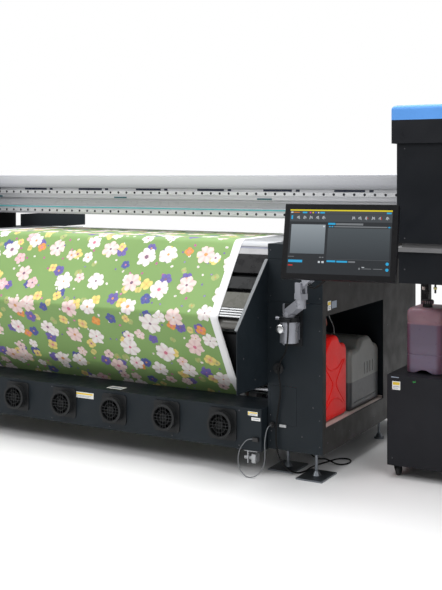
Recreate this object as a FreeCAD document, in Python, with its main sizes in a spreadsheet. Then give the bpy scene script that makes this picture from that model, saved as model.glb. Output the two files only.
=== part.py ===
import FreeCAD, Part
import math
import os
import Sketcher
from FreeCAD import Placement, Rotation, Vector

# Wide-format textile printer. Millimetres. +X runs to the operator's right, +Y into the machine,
# +Z up. The origin is on the floor, under the middle of the machine.

SIZES = {
    # whole machine
    "left_end": -2220, "right_end": 2220,
    "zone_left": -1670, "zone_right": 530,      # the printing zone between the two side plates
    "sheet_steel": 3,
    # print bed, gantry
    "bed_top": 1165, "bed_thick": 45, "bed_front": -480, "bed_back": 180,
    "beam_left": -2060, "beam_right": 2060, "beam_front": -50, "beam_back": 170,
    "beam_low": 1263, "beam_high": 1500, "beam_wall": 8,
    "rail_face": -62, "rail_tall": 22, "upper_rail_low": 1390, "lower_rail_low": 1273,
    "screw_pitch": 60, "screw_radius": 4.5, "screw_proud": 0.8,
    "cover_low": 1430, "cover_high": 1514,
    # cloth
    "cloth_left": -1500, "cloth_right": 300, "cloth_thick": 1.2, "cloth_lift": 0.4,
    "nose_y": -750, "nose_level": 785, "tuck_y": -560, "tuck_level": 450,
    "exit_y": -450, "exit_level": 337,
    # rollers and rolls
    "core_radius": 38, "journal_radius": 12, "journal_fit": 0.08,
    "takeup_y": -236, "takeup_level": 267, "takeup_radius": 105,
    "supply_y": 912, "supply_level": 420, "supply_radius": 130,
    "rear_roller_y": 215, "rear_roller_radius": 32,
    "dancer_y": -380, "dancer_level": 362, "dancer_radius": 24,
    # blower box
    "blower_front": -707, "blower_back": -458, "blower_low": 124, "blower_high": 336,
    "fan_right": 306, "fan_pitch": 338, "fan_level": 240, "fan_plate": 160, "fan_plate_thick": 6,
    "duct_radius": 66, "duct_bore": 58, "duct_reach": 45,
    # service cabinet
    "cabinet_right": 830, "cabinet_front": -643, "cabinet_back": 750,
    "cabinet_low": 130, "cabinet_high": 1162, "shelf_level": 256,
    "window_front": -600, "window_back": 207, "window_high": 810,
    # end stations
    "station_left": 1160, "station_front": -500, "station_back": 400,
    "station_low": 1177, "station_high": 1659, "lid_seam": 1774, "lid_high": 1845,
    "lid_overhang": 20, "tray_low": 1136, "hinge_pin": 4, "tray_high": 1156, "apron_low": 983,
    "left_station_right": -2000, "left_station_back": 180,
    # ink cart
    "cart_left": 1072, "cart_right": 2112, "cart_front": -400, "cart_back": -40,
    "cart_low": 63, "cart_high": 512, "wheel_radius": 27, "wheel_wide": 20,
    "bottle_wide": 184, "bottle_deep": 230, "bottle_tall": 328, "bottle_front": -300,
    "bottle_first": 1226, "bottle_pitch": 245,
    # screen and its arm
    "screen_x": 1060, "screen_y": -980, "screen_level": 1205,
    "screen_wide": 524, "screen_tall": 346, "screen_thick": 38,
    "panel_wide": 474, "panel_tall": 296, "screen_turn": 9, "screen_lean": -13.5,
    "post_x": 677, "post_y": -700, "post_radius": 46, "post_low": 683, "post_high": 786,
    "elbow_x": 765, "elbow_y": -752, "elbow_level": 935,
    "head_x": 1016, "head_y": -870, "head_level": 1150,
    # frame
    "tube_side": 80, "frame_low": 60, "high_rail": 1050, "high_rail_top": 1110,
    "front_tube": 100, "rear_tube": 600,
    # carriage
    "carriage_left": 1420, "carriage_wide": 440, "carriage_front": -420, "carriage_back": -74,
    "carriage_low": 1190, "carriage_high": 1600, "head_gap": 7,
}


class Size(float):
    """A number that also knows the sheet expression it comes from."""

    def __new__(cls, number, text):
        made = float.__new__(cls, number)
        made.text = text
        return made

    def __add__(self, other):
        return Size(float(self) + float(other), f"({self.text} + {text_of(other)})")

    __radd__ = __add__

    def __sub__(self, other):
        return Size(float(self) - float(other), f"({self.text} - {text_of(other)})")

    def __rsub__(self, other):
        return Size(float(other) - float(self), f"({text_of(other)} - {self.text})")

    def __mul__(self, other):
        return Size(float(self) * float(other), f"({self.text} * {text_of(other)})")

    __rmul__ = __mul__

    def __truediv__(self, other):
        return Size(float(self) / float(other), f"({self.text} / {text_of(other)})")

    def __neg__(self):
        return Size(-float(self), f"(0 - {self.text})")


def text_of(number):
    if isinstance(number, Size):
        return number.text
    return f"({round(float(number), 5)})"


doc = FreeCAD.newDocument("textile_printer")
sheet = doc.addObject("Spreadsheet::Sheet", "Dims")
for line, (alias, number) in enumerate(SIZES.items(), start=1):
    sheet.set(f"A{line}", alias)
    sheet.set(f"B{line}", str(number))
    sheet.setAlias(f"B{line}", alias)
doc.recompute()


class SheetSizes:
    """Gives each alias of the sheet as a Size."""

    def __getattr__(self, alias):
        return Size(SIZES[alias], f"Dims.{alias}")


D = SheetSizes()
AXES = {
    "X": Rotation(Vector(0, 1, 0), 90),
    "Y": Rotation(Vector(1, 0, 0), -90),
    "Z": Rotation(),
}
FANS = range(5)
BOTTLES = range(4)
nodes = []


# ---------------------------------------------------------------- ways to make a shape


def bind(item, **sizes):
    for name, size in sizes.items():
        item.setExpression(name.replace("_", "."), text_of(size))
    return item


def place(item, x, y, z, turn=Rotation()):
    item.Placement = Placement(Vector(0, 0, 0), turn)
    for letter, size in zip("xyz", (x, y, z)):
        item.setExpression(f"Placement.Base.{letter}", text_of(size))
    return item


def box(x, y, z):
    """A box between the two values given along each axis."""
    item = doc.addObject("Part::Box", "Block")
    bind(item, Length=x[1] - x[0], Width=y[1] - y[0], Height=z[1] - z[0])
    return place(item, x[0], y[0], z[0])


def rod(start, radius, length, axis="X", top=None):
    """A cylinder, or with top a cone, that starts at a point and runs along an axis."""
    if top is None:
        item = bind(doc.addObject("Part::Cylinder", "Rod"), Radius=radius, Height=length)
    else:
        item = bind(doc.addObject("Part::Cone", "Taper"), Radius1=radius, Radius2=top, Height=length)
    return place(item, *start, AXES[axis])


def join(*items):
    fuse = doc.addObject("Part::MultiFuse", "Join")
    fuse.Shapes = list(items)
    return fuse


def cut(base, *tools):
    item = doc.addObject("Part::Cut", "Cut")
    item.Base = base
    item.Tool = tools[0] if len(tools) == 1 else join(*tools)
    return item


def group(items):
    item = doc.addObject("Part::Compound", "Group")
    item.Links = list(items)
    return item


def rounded(item, radius, chosen):
    """Rounds the edges that chosen() picks by their middle point and direction."""
    doc.recompute()
    picked = []
    for number, edge in enumerate(item.Shape.Edges, start=1):
        middle = edge.valueAt((edge.FirstParameter + edge.LastParameter) / 2)
        if chosen(middle, edge.tangentAt(edge.FirstParameter)):
            picked.append((number, float(radius), float(radius)))
    soft = doc.addObject("Part::Fillet", "Rounded")
    soft.Base = item
    soft.Edges = picked
    return soft


def along(letter):
    """Picks every edge that runs along one axis."""
    return lambda middle, way: abs(getattr(way, letter)) > 0.999


def padded(plane, points, start, length, radii=None):
    """A pad of a closed outline. YZ outlines run along +X, XY ones along +Z, XZ ones along +Y."""
    body = doc.addObject("PartDesign::Body", "Profile")
    sketch = body.newObject("Sketcher::SketchObject", "Outline")
    origin = next(f for f in body.Origin.OriginFeatures if f.Role == f"{plane}_Plane")
    sketch.AttachmentSupport = [(origin, "")]
    sketch.MapMode = "FlatFace"
    ends = [Vector(float(a), float(b), 0) for a, b in points]
    count = len(ends)
    for i in range(count):
        sketch.addGeometry(Part.LineSegment(ends[i], ends[(i + 1) % count]), False)
    for i in range(count):
        sketch.addConstraint(Sketcher.Constraint("Coincident", i, 2, (i + 1) % count, 1))
    for i, pair in enumerate(points):
        for way, size in zip(("DistanceX", "DistanceY"), pair):
            number = sketch.addConstraint(Sketcher.Constraint(way, -1, 1, i, 1, float(size)))
            if isinstance(size, Size):
                sketch.setExpression(f"Constraints[{number}]", size.text)
    pad = body.newObject("PartDesign::Pad", "Pad")
    pad.Profile = sketch
    pad.Reversed = plane == "XZ"
    bind(pad, Length=length)
    shift = {"YZ": (start, 0, 0), "XZ": (0, start, 0), "XY": (0, 0, start)}[plane]
    place(body, *shift)
    if radii:
        doc.recompute()
        local = {"YZ": lambda p: (p.y, p.z), "XZ": lambda p: (p.x, p.z), "XY": lambda p: (p.x, p.y)}
        deep = {"YZ": "x", "XZ": "y", "XY": "z"}[plane]
        for corner, radius in radii.items():
            names = []
            for number, edge in enumerate(body.Tip.Shape.Edges, start=1):
                ends_of_edge = [v.Point for v in edge.Vertexes]
                if len(ends_of_edge) != 2 or abs(getattr(edge.tangentAt(edge.FirstParameter), deep)) < 0.999:
                    continue
                a, b = local[plane](ends_of_edge[0])
                if math.hypot(a - ends[corner].x, b - ends[corner].y) < 0.01:
                    names.append(f"Edge{number}")
            before = body.Tip
            fillet = body.newObject("PartDesign::Fillet", "Corner")
            fillet.Base = (before, names)
            bind(fillet, Radius=radius)
            body.Tip = fillet
            doc.recompute()
    return body


def node(name, item):
    item.Label = name
    nodes.append(item)
    return item


def tube(points, diameter, name):
    """A cord: straight runs joined by tangent arcs, each as large as its two runs allow."""
    points = [Vector(*p) for p in points]
    edges, here, radii = [], points[0], []
    for a, b, c in zip(points, points[1:], points[2:]):
        first, second = (b - a), (c - b)
        turn = first.getAngle(second)
        short = min(first.Length, second.Length)
        radius = 0.45 * short / math.tan(turn / 2)
        radii.append(round(radius, 1))
        reach = 0.45 * short
        one = b - first.normalize() * reach
        two = b + second.normalize() * reach
        corner = (one + two) * 0.5
        middle = b + (corner - b).normalize() * (math.hypot(radius, reach) - radius)
        edges += [Part.LineSegment(here, one).toShape(), Part.Arc(one, middle, two).toShape()]
        here = two
    edges.append(Part.LineSegment(here, points[-1]).toShape())
    path = Part.Wire(edges)
    ring = Part.Wire(Part.Circle(points[0], points[1] - points[0], float(diameter) / 2).toShape())
    solid = path.makePipeShell([ring], True, False)
    ideal = math.pi * float(diameter) ** 2 / 4 * path.Length
    print(f"{name}: length {path.Length:.0f}, radii {radii}, volume ratio {solid.Volume / ideal:.4f}")
    return solid


def feature(shape):
    item = doc.addObject("Part::Feature", "Shape")
    item.Shape = shape
    return item


# ---------------------------------------------------------------- frame and feet


def base_frame():
    side, low, high, top = D.tube_side, D.frame_low, D.high_rail, D.high_rail_top
    right_leg = (D.zone_right - 10 - side, D.zone_right - 10)
    left_leg = (D.zone_left + 10, D.zone_left + 10 + side)
    ends = [(D.left_end + 40, D.left_end + 40 + side), (D.right_end - 40 - side, D.right_end - 40)]
    rows = [(D.front_tube, D.front_tube + side), (D.rear_tube, D.rear_tube + side)]
    parts = [box((ends[0][0], ends[1][1]), row, (high, top)) for row in rows]
    foot_rail = (D.cabinet_low + 10, D.cabinet_low + 10 + side)
    parts += [box((left_leg[0], right_leg[1]), row, foot_rail) for row in rows]
    for leg in [*ends, left_leg, right_leg]:
        parts += [box(leg, row, (low, high + 1)) for row in rows]
        parts.append(box(leg, (rows[0][1] - 1, rows[1][0] + 1), (high, top)))
        parts.append(box(leg, (rows[0][1] - 1, rows[1][0] + 1), foot_rail))
    parts.append(box((1080, 1120), (D.front_tube, D.front_tube + 60), (low, high + 1)))
    for x in (-1930, 1480):
        parts.append(box((x, x + 100), (-40, D.front_tube + side), (top - 1, D.beam_low)))
    node("base_frame", join(*parts))


def foot(x, y, reach, plate=0):
    """A levelling foot: a disc or a steel floor plate, a cone, a screw and its lock nut."""
    nut = rod((x, y, reach - 10), 15, 10, "Z")
    stem = rod((x, y, 9), 8, reach - 9, "Z")
    cone = rod((x, y, 8), 22, 22, "Z", top=11)
    if plate:
        pad = box((x - 70, x + 70), (y - 95, y + 95), (0, 8))
    else:
        pad = rod((x, y, 0), 28, 9, "Z")
    return join(nut, stem, cone, pad)


def feet():
    small = [foot(570, -490, D.cabinet_low, 1), foot(763, -566, D.cabinet_low, 1)]
    small += [foot(764, 302, D.cabinet_low), foot(560, 700, D.cabinet_low), foot(800, 700, D.cabinet_low)]
    small += [foot(-2180, y, D.cabinet_low) for y in (-440, 700)]
    small += [foot(-1720, y, D.cabinet_low) for y in (-440, 700)]
    half = D.tube_side / 2
    for x in (D.zone_left + 10 + half, D.zone_right - 10 - half, D.right_end - 40 - half):
        small += [foot(x, row + half, D.frame_low) for row in (D.front_tube, D.rear_tube)]
    small.append(foot(1100, D.front_tube + 30, D.frame_low))
    node("levelling_feet", group(small))


# ---------------------------------------------------------------- gantry beam


def gantry():
    front, rail = D.beam_front, D.rail_face
    low, high = D.beam_low, D.beam_high
    steps = [
        (low, front - 6), (D.lower_rail_low - 0.5, front - 6), (D.lower_rail_low - 0.5, front),
        (D.lower_rail_low + 23, front), (D.lower_rail_low + 23, front - 8), (1313, front - 8),
        (1313, front + 6), (1356, front + 6), (1356, front + 12), (1366, front + 12),
        (1366, front - 8), (D.upper_rail_low - 0.5, front - 8), (D.upper_rail_low - 0.5, front),
        (D.upper_rail_low + 23, front), (D.upper_rail_low + 23, front - 4), (D.cover_low - 1, front - 4),
        (D.cover_low - 1, front), (high, front),
    ]
    outline = [(y, z) for z, y in steps] + [(D.beam_back, high), (D.beam_back, low)]
    long = D.beam_right - D.beam_left
    solid = padded("YZ", outline, D.beam_left, long)
    wall = D.beam_wall
    hollow = box((D.beam_left - 1, D.beam_right + 1), (front + 12 + wall, D.beam_back - wall),
                 (low + wall, high - wall))
    node("gantry_beam", cut(solid, hollow))
    span = (D.beam_left + 20, D.beam_right - 20)
    screws = [box(span, (rail, front), (z, z + D.rail_tall)) for z in (D.upper_rail_low, D.lower_rail_low)]
    for level in (D.upper_rail_low + D.rail_tall / 2, D.lower_rail_low + D.rail_tall / 2):
        for k in range(66):
            x = D.beam_left + 60 + D.screw_pitch * k
            screws.append(rod((x, rail - D.screw_proud, level), D.screw_radius, D.screw_proud, "Y"))
    node("linear_rails", group(screws))
    skin = D.sheet_steel
    shell = box((D.beam_left, D.beam_right), (rail - 4, D.beam_back + 4), (D.cover_low, D.cover_high))
    inside = box((D.beam_left - 1, D.beam_right + 1), (rail - 4 + skin, D.beam_back + 4 - skin),
                 (D.cover_low - 1, D.cover_high - skin))
    folded = rounded(shell, 9, lambda p, t: abs(t.x) > 0.99 and p.z > 1500 and p.y < 0)
    node("beam_cover", cut(folded, inside))
    slots = [box(span, (front - 9, front - 8), (1303, 1311)), box(span, (front + 2, front + 6), (1318, 1351))]
    for k in range(9):
        x = D.beam_left + 72 + 438 * k
        slots.append(box((x, x + 180), (front - 6, front - 4), (1415, 1427)))
        slots.append(box((x + 205, x + 228), (front - 6, front - 4), (1415, 1427)))
    slots += [box((x, x + 92), (front - 12, front - 8), (1367, 1375)) for x in (-1832, -833, 165, 1164)]
    node("beam_inserts", group(slots))


# ---------------------------------------------------------------- print bed and dryer front


def slant(s, out=0):
    """A point of the dryer's sloping face: s down the slope, out away from the machine."""
    run, fall = float(D.nose_y - D.bed_front), float(D.nose_level - D.bed_top)
    size = math.hypot(run, fall)
    y = D.bed_front + s * run / size + out * fall / size
    return (y, D.bed_top + s * fall / size - out * run / size)


def slope_length():
    return math.hypot(float(D.nose_y - D.bed_front), float(D.nose_level - D.bed_top))


def bed():
    low = D.bed_top - D.bed_thick
    outline = [
        (D.bed_back, low), (D.bed_back, D.bed_top), (D.bed_front, D.bed_top),
        slant(38), slant(38, -40), (D.bed_front + 40, low),
    ]
    node("print_bed", padded("YZ", outline, D.zone_left + 6, D.zone_right - D.zone_left - 12, {2: 60}))


def strip(start, end, front, back=-30):
    """One flat panel of the dryer's face, between two distances down the slope."""
    outline = [slant(start, back), slant(start, front), slant(end, front), slant(end, back)]
    return padded("YZ", outline, D.zone_left + 10, D.zone_right - D.zone_left - 20)


def dryer():
    node("dryer_panels", group([strip(39, 84, -1.5), strip(86, 197, -1), strip(222, 290, -2),
                                strip(314, 402, -1)]))
    rib, gap, ribs = 8, 14, []
    length = D.zone_right - D.zone_left - 20
    end = slope_length() - 9
    back_plate = [slant(404, -26), slant(404, -8), slant(end, -8), slant(end, -26)]
    plate = padded("YZ", back_plate, D.zone_left + 10, length)
    for k in range(4):
        s = 405 + gap * k
        points = [slant(s, -9), slant(s, -2), slant(s + rib, -2), slant(s + rib, -9)]
        ribs.append(padded("YZ", points, D.zone_left + 10, length))
    nose = rod((D.zone_left + 10, D.nose_y + 50, D.nose_level - 32), 28, length)
    node("nose_ribs", group([join(plate, *ribs), nose]))
    pan = [(-640, 700), (-655, 690), (-486, 455), (-471, 465)]
    node("dryer_frame", group([strip(60, 400, -31, -62), padded("YZ", pan, D.zone_left + 10, length)]))


def side_plates():
    thick = 4
    outline = [(-967, 455), (-967, 763), (D.cabinet_front, 1084), (-200, 1084), (-200, 455)]
    lean = math.atan2(1084 - 763, float(D.cabinet_front) + 967)
    inward = (math.sin(lean) * 3, -math.cos(lean) * 3)
    fold = [(-967, 763), (D.cabinet_front, 1084), (D.cabinet_front + inward[0], 1084 + inward[1]),
            (-967 + inward[0], 763 + inward[1])]
    right = padded("YZ", outline, D.zone_right - thick, thick)
    right_fold = padded("YZ", fold, D.zone_right - thick - 12, 12.5)
    left = padded("YZ", outline, D.zone_left, thick)
    left_fold = padded("YZ", fold, D.zone_left + thick - 0.5, 12.5)
    node("side_plates", group([join(right, right_fold), join(left, left_fold)]))


# ---------------------------------------------------------------- rollers, rolls and cloth


def bearing_plate(x, y, level, outline):
    """An upright plate with a running hole for a journal."""
    plate = padded("YZ", outline, x, 8)
    return cut(plate, rod((x - 1, y, level), D.journal_radius + D.journal_fit, 10))


def roller(y, level, radius, left, right, reach=12):
    drum = rod((left, y, level), radius, right - left)
    shaft = rod((left - reach, y, level), D.journal_radius, right - left + 2 * reach)
    return join(drum, shaft)


def rollers():
    inner = (D.zone_left + 8, D.zone_right - 8)
    near, far = inner[0] - 4, inner[1] - 4
    dancer = [(D.dancer_y - 30, 330), (D.dancer_y - 30, 452), (D.dancer_y + 30, 452), (D.dancer_y + 30, 330)]
    arms = [bearing_plate(x, D.dancer_y, D.dancer_level, dancer) for x in (near, far)]
    node("dancer_roller", roller(D.dancer_y, D.dancer_level, D.dancer_radius, near + 14, far - 6))
    legs = (D.zone_left + 10 + D.tube_side, D.zone_right - 10 - D.tube_side - 8)
    takeup = [(-280, 235), (-280, 300), (-120, 330), (179, 330), (179, 221), (-120, 221)]
    supply = [(601, 300), (601, 420), (860, 470), (960, 470), (960, 385), (860, 350)]
    rear = [(181, 1000), (181, 1150), (250, 1150), (250, 1000)]
    for x in legs:
        arms.append(bearing_plate(x, D.takeup_y, D.takeup_level, takeup))
        arms.append(bearing_plate(x, D.supply_y, D.supply_level, supply))
        arms.append(bearing_plate(x, D.rear_roller_y, D.bed_top - D.rear_roller_radius, rear))
    node("bearing_arms", group(arms))
    left, right = legs[0] + 14, legs[1] - 6
    node("rear_roller", roller(D.rear_roller_y, D.bed_top - D.rear_roller_radius, D.rear_roller_radius,
                               left, right))
    for name, y, level, radius in (
        ("takeup", D.takeup_y, D.takeup_level, D.takeup_radius),
        ("supply", D.supply_y, D.supply_level, D.supply_radius),
    ):
        core = roller(y, level, D.core_radius, left, right)
        wound = rod((D.cloth_left, y, level), radius, D.cloth_right - D.cloth_left)
        bore = rod((D.cloth_left - 1, y, level), D.core_radius, D.cloth_right - D.cloth_left + 2)
        node(f"{name}_roll", group([core, cut(wound, bore)]))


def circle_tangent(one, r1, two, r2):
    """Where a straight stretch of cloth leaves the first roll and meets the second."""
    dy, dz = two[0] - one[0], two[1] - one[1]
    far = math.hypot(dy, dz)
    d, n = (dy / far, dz / far), (dz / far, -dy / far)
    lean = (r1 - r2) / far
    flat = math.sqrt(1 - lean * lean)
    out = (n[0] * flat + d[0] * lean, n[1] * flat + d[1] * lean)
    return [(c[0] + out[0] * r, c[1] + out[1] * r) for c, r in ((one, r1), (two, r2))]


def cloth_route():
    """The cloth's inner side, as corners with the radius of each bend."""
    lift = float(D.cloth_lift)
    top = float(D.bed_top) + lift
    rear = (float(D.rear_roller_y), float(D.bed_top - D.rear_roller_radius))
    supply = (float(D.supply_y), float(D.supply_level))
    gap = 0.5
    bend = float(D.rear_roller_radius) + lift
    leave, meet = circle_tangent(supply, float(D.supply_radius) + gap, rear, bend)
    slope = (meet[1] - leave[1]) / (meet[0] - leave[0])
    crest = (meet[0] + (top - meet[1]) / slope, top)
    start = (float(D.bed_front), top)
    nose = (float(D.nose_y) - lift, float(D.nose_level))
    tuck = (float(D.tuck_y), float(D.tuck_level))
    exit_point = (float(D.exit_y), float(D.exit_level))
    wound = (float(D.takeup_y), float(D.takeup_level))
    radius = float(D.takeup_radius) + gap
    dy, dz = wound[0] - exit_point[0], wound[1] - exit_point[1]
    far = math.hypot(dy, dz)
    swing = math.atan2(dz, dy) - math.asin(radius / far)
    reach = math.sqrt(far * far - radius * radius)
    end = (exit_point[0] + reach * math.cos(swing), exit_point[1] + reach * math.sin(swing))
    return [(leave, 0), (crest, bend), (start, 60 + lift), (nose, 22), (tuck, 120),
            (exit_point, 60), (end, 0)]


def cloth():
    corners = cloth_route()
    edges, here = [], Vector(0, *corners[0][0])
    for (a, _), (b, radius), (c, _) in zip(corners, corners[1:], corners[2:]):
        a, b, c = Vector(0, *a), Vector(0, *b), Vector(0, *c)
        back, ahead = (a - b).normalize(), (c - b).normalize()
        half = back.getAngle(ahead) / 2
        reach = radius / math.tan(half)
        one, two = b + back * reach, b + ahead * reach
        middle = b + (back + ahead).normalize() * (radius / math.sin(half) - radius)
        edges += [Part.LineSegment(here, one).toShape(), Part.Arc(one, middle, two).toShape()]
        here = two
    edges.append(Part.LineSegment(here, Vector(0, *corners[-1][0])).toShape())
    wire = Part.Wire(edges)
    face = wire.makeOffset2D(float(D.cloth_thick), 0, True, True, True)
    if face.BoundBox.ZMax < float(D.bed_top) + 0.5 * float(D.cloth_thick):
        face = wire.makeOffset2D(-float(D.cloth_thick), 0, True, True, True)
    solid = face.extrude(Vector(float(D.cloth_right - D.cloth_left), 0, 0))
    item = feature(solid.Solids[0] if solid.Solids else solid)
    item.Placement = Placement(Vector(float(D.cloth_left), 0, 0), Rotation())
    print(f"cloth: length along the route {wire.Length:.0f}, top {item.Shape.BoundBox.ZMax:.2f}")
    node("cloth_web", item)


# ---------------------------------------------------------------- blower box and fans


def fan_x(k):
    return D.fan_right - D.fan_pitch * k


def blower():
    skin = D.sheet_steel
    x, z = (D.zone_left, D.zone_right - 4), (D.blower_low, D.blower_high)
    outer = box(x, (D.blower_front, D.blower_back), z)
    inner = box((x[0] + skin, x[1] - skin), (D.blower_front + skin, D.blower_back - skin),
                (z[0] + skin, z[1] - skin))
    holes = [rod((fan_x(k), D.blower_front - 1, D.fan_level), D.duct_bore, 10, "Y") for k in FANS]
    slots = [box((fan_x(k) - 90, fan_x(k) + 90), (D.blower_back - 10, D.blower_back + 1),
                 (190, 290)) for k in FANS]
    node("blower_box", cut(outer, inner, *holes, *slots))
    plates, ducts, grilles = [], [], []
    half, face = D.fan_plate / 2, D.blower_front
    for k in FANS:
        x0 = fan_x(k)
        plate = box((x0 - half, x0 + half), (face - D.fan_plate_thick, face),
                    (D.fan_level - half, D.fan_level + half))
        soft = rounded(plate, 18, along("y"))
        plates.append(cut(soft, rod((x0, face - 10, D.fan_level), D.duct_bore, 20, "Y")))
        start = face - D.fan_plate_thick - D.duct_reach + 6
        ring = rod((x0, start, D.fan_level), D.duct_radius, D.duct_reach - 6, "Y")
        lip = rod((x0, start, D.fan_level), D.duct_radius + 4, 6, "Y")
        bore = rod((x0, start - 1, D.fan_level), D.duct_bore, D.duct_reach + 2, "Y")
        ducts.append(cut(join(ring, lip), bore))
        bars, depth = [], (start + 3, start + 6)
        for h in (-16, 0, 16):
            reach = math.sqrt(57 ** 2 - (abs(h) + 1.2) ** 2)
            near, far = (h - 1.2, h + 1.2), (-reach, reach)
            for wide, tall in ((far, near), (near, far)):
                bars.append(box((x0 + wide[0], x0 + wide[1]), depth,
                                (D.fan_level + tall[0], D.fan_level + tall[1])))
        hoops = [cut(rod((x0, start + 3, D.fan_level), r, 3, "Y"),
                     rod((x0, start + 2, D.fan_level), r - 2.4, 5, "Y")) for r in (20, 39, 57.5)]
        grilles.append(join(*bars, *hoops))
    for k in FANS:
        node(f"fan_rotor_{k + 1}", fan_rotor(fan_x(k)))
    motors = []
    for k in FANS:
        motors.append(join(
            rod((fan_x(k), face + 10, D.fan_level), 22, 40, "Y"),
            box((fan_x(k) - 8, fan_x(k) + 8), (face + 30, face + 40), (D.blower_low + skin, D.fan_level)),
        ))
    node("fan_housings", group([*plates, *ducts, *grilles, *motors]))


def fan_rotor(x0):
    start = D.blower_front - 34
    hub = rod((x0, start, D.fan_level), 20, 38, "Y")
    blades, long, wide, thick = [], 38, 20, 2.5
    for k in range(7):
        blade = doc.addObject("Part::Box", "Blade")
        bind(blade, Length=long, Width=wide, Height=thick)
        turn = Rotation(Vector(0, 1, 0), 360 / 7 * k + 7) * Rotation(Vector(1, 0, 0), 35)
        way = turn.multVec(Vector(14, -wide / 2, -thick / 2))
        blades.append(place(blade, x0 + way.x, start + 18 + way.y, D.fan_level + way.z, turn))
    return join(hub, *blades)


# ---------------------------------------------------------------- service cabinet


def tube_windows(x):
    """Clearance holes where the frame's high tubes go through a wall."""
    return [box(x, (row - 1, row + D.tube_side + 1), (D.high_rail - 1, D.high_rail_top + 1))
            for row in (D.front_tube, D.rear_tube)]


def cabinet():
    skin, left, right = D.sheet_steel, D.zone_right, D.cabinet_right
    low, high, back = D.cabinet_low, D.cabinet_high, D.cabinet_back
    front = D.cabinet_front + skin
    outer = box((left, right - skin), (front, back), (low, high))
    space = box((left + skin, right), (front - 1, D.window_back), (D.shelf_level, high - skin))
    below = box((left + skin, right), (front - 1, D.window_back), (low + skin, D.shelf_level - skin))
    behind = box((left + skin, right), (D.window_back + skin, back - skin), (low + skin, high - skin))
    passage = box((left - 1, right + 1), (D.front_tube - 1, D.front_tube + 81), (1049, 1111))
    node("cabinet_shell", cut(outer, space, below, behind, *tube_windows((left - 1, left + 5)), passage))
    wall = box((right - skin, right), (front, D.window_back), (low, high))
    window = box((right - 5, right + 1), (D.window_front, D.window_back - 12), (D.shelf_level, D.window_high))
    side = cut(wall, window, *tube_windows((right - 5, right + 1)))
    column = box((right - skin, right), (D.window_back + 1.5, back), (low, high))
    rear = cut(column, *tube_windows((right - 5, right + 1)))
    node("cabinet_side_panels", group([side, rear]))
    face = (D.cabinet_front, front)
    covers = [box((left, right), face, (1087.5, high)), box((left, right), face, (874, 1086))]
    lower = box((left, right), face, (low, 872.5))
    hole = box((left + 12, left + 160), (D.cabinet_front - 1, front + 1), (255, 451))
    covers += [cut(lower, hole), box((left + 13, left + 159), face, (256, 450))]
    node("cabinet_front_covers", group(covers))
    tray = box((left + 20, right - 8), (-625, D.window_back - 8), (D.shelf_level, D.shelf_level + 14))
    well = box((left + 22, right), (-623, D.window_back - 10), (D.shelf_level + 2, D.shelf_level + 15))
    node("drip_tray", cut(tray, well))


def can(name, x, y, low, high, mouth_y, grip_y):
    """A jerry can with a moulded handle and a screw mouth."""
    shell = rounded(box(x, y, (low, high - 60)), 28, lambda p, t: abs(t.z) > 0.99 or p.z > float(high) - 70)
    middle = (x[0] + x[1]) / 2
    grip = box((middle - 16, middle + 16), grip_y, (high - 90, high - 8))
    hole = box((middle - 20, middle + 20), (grip_y[0] + 32, grip_y[1] - 32), (high - 58, high - 30))
    handle = rounded(cut(grip, hole), 12, lambda p, t: abs(t.x) > 0.99)
    neck = rod((middle, mouth_y, high - 75), 27, 45, "Z")
    cap = rod((middle, mouth_y, high - 30), 33, 22, "Z")
    node(name, group([join(shell, handle, neck), cut(cap, rod((middle, mouth_y, high - 31), 8, 30, "Z"))]))


def cans():
    floor = D.shelf_level + 2
    can("red_can", (585, 796), (-580, -245), floor, 716, -288, (-550, -335))
    can("grey_can", (570, 806), (-225, 193), floor, 660, -170, (-105, 158))


# ---------------------------------------------------------------- end stations


def lid_hinges(x, back):
    """Two hinges behind the seam of a lid: the lid's knuckles, and the shell's brackets with their pins."""
    y, z, wide, fit = back + 9, D.station_high + 1, 40, 0.08
    knuckles, pins = [], []
    for at in (x[0] + 50, x[1] - 50 - wide):
        leaf = box((at, at + wide), (back - 1, y), (z + 3, z + 34))
        barrel = rod((at, y, z), 8, wide)
        knuckles.append(cut(join(leaf, barrel), rod((at - 1, y, z), D.hinge_pin + fit, wide + 2)))
        for cheek in (at - 10, at + wide + 2):
            pins.append(box((cheek, cheek + 8), (back - 1, back + 15), (z - 36, z - 1.5)))
            pins.append(box((cheek, cheek + 8), (back + 3, back + 15), (z - 2, z + 5)))
        pins.append(rod((at - 10, y, z), D.hinge_pin, wide + 20))
    return knuckles, pins


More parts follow.
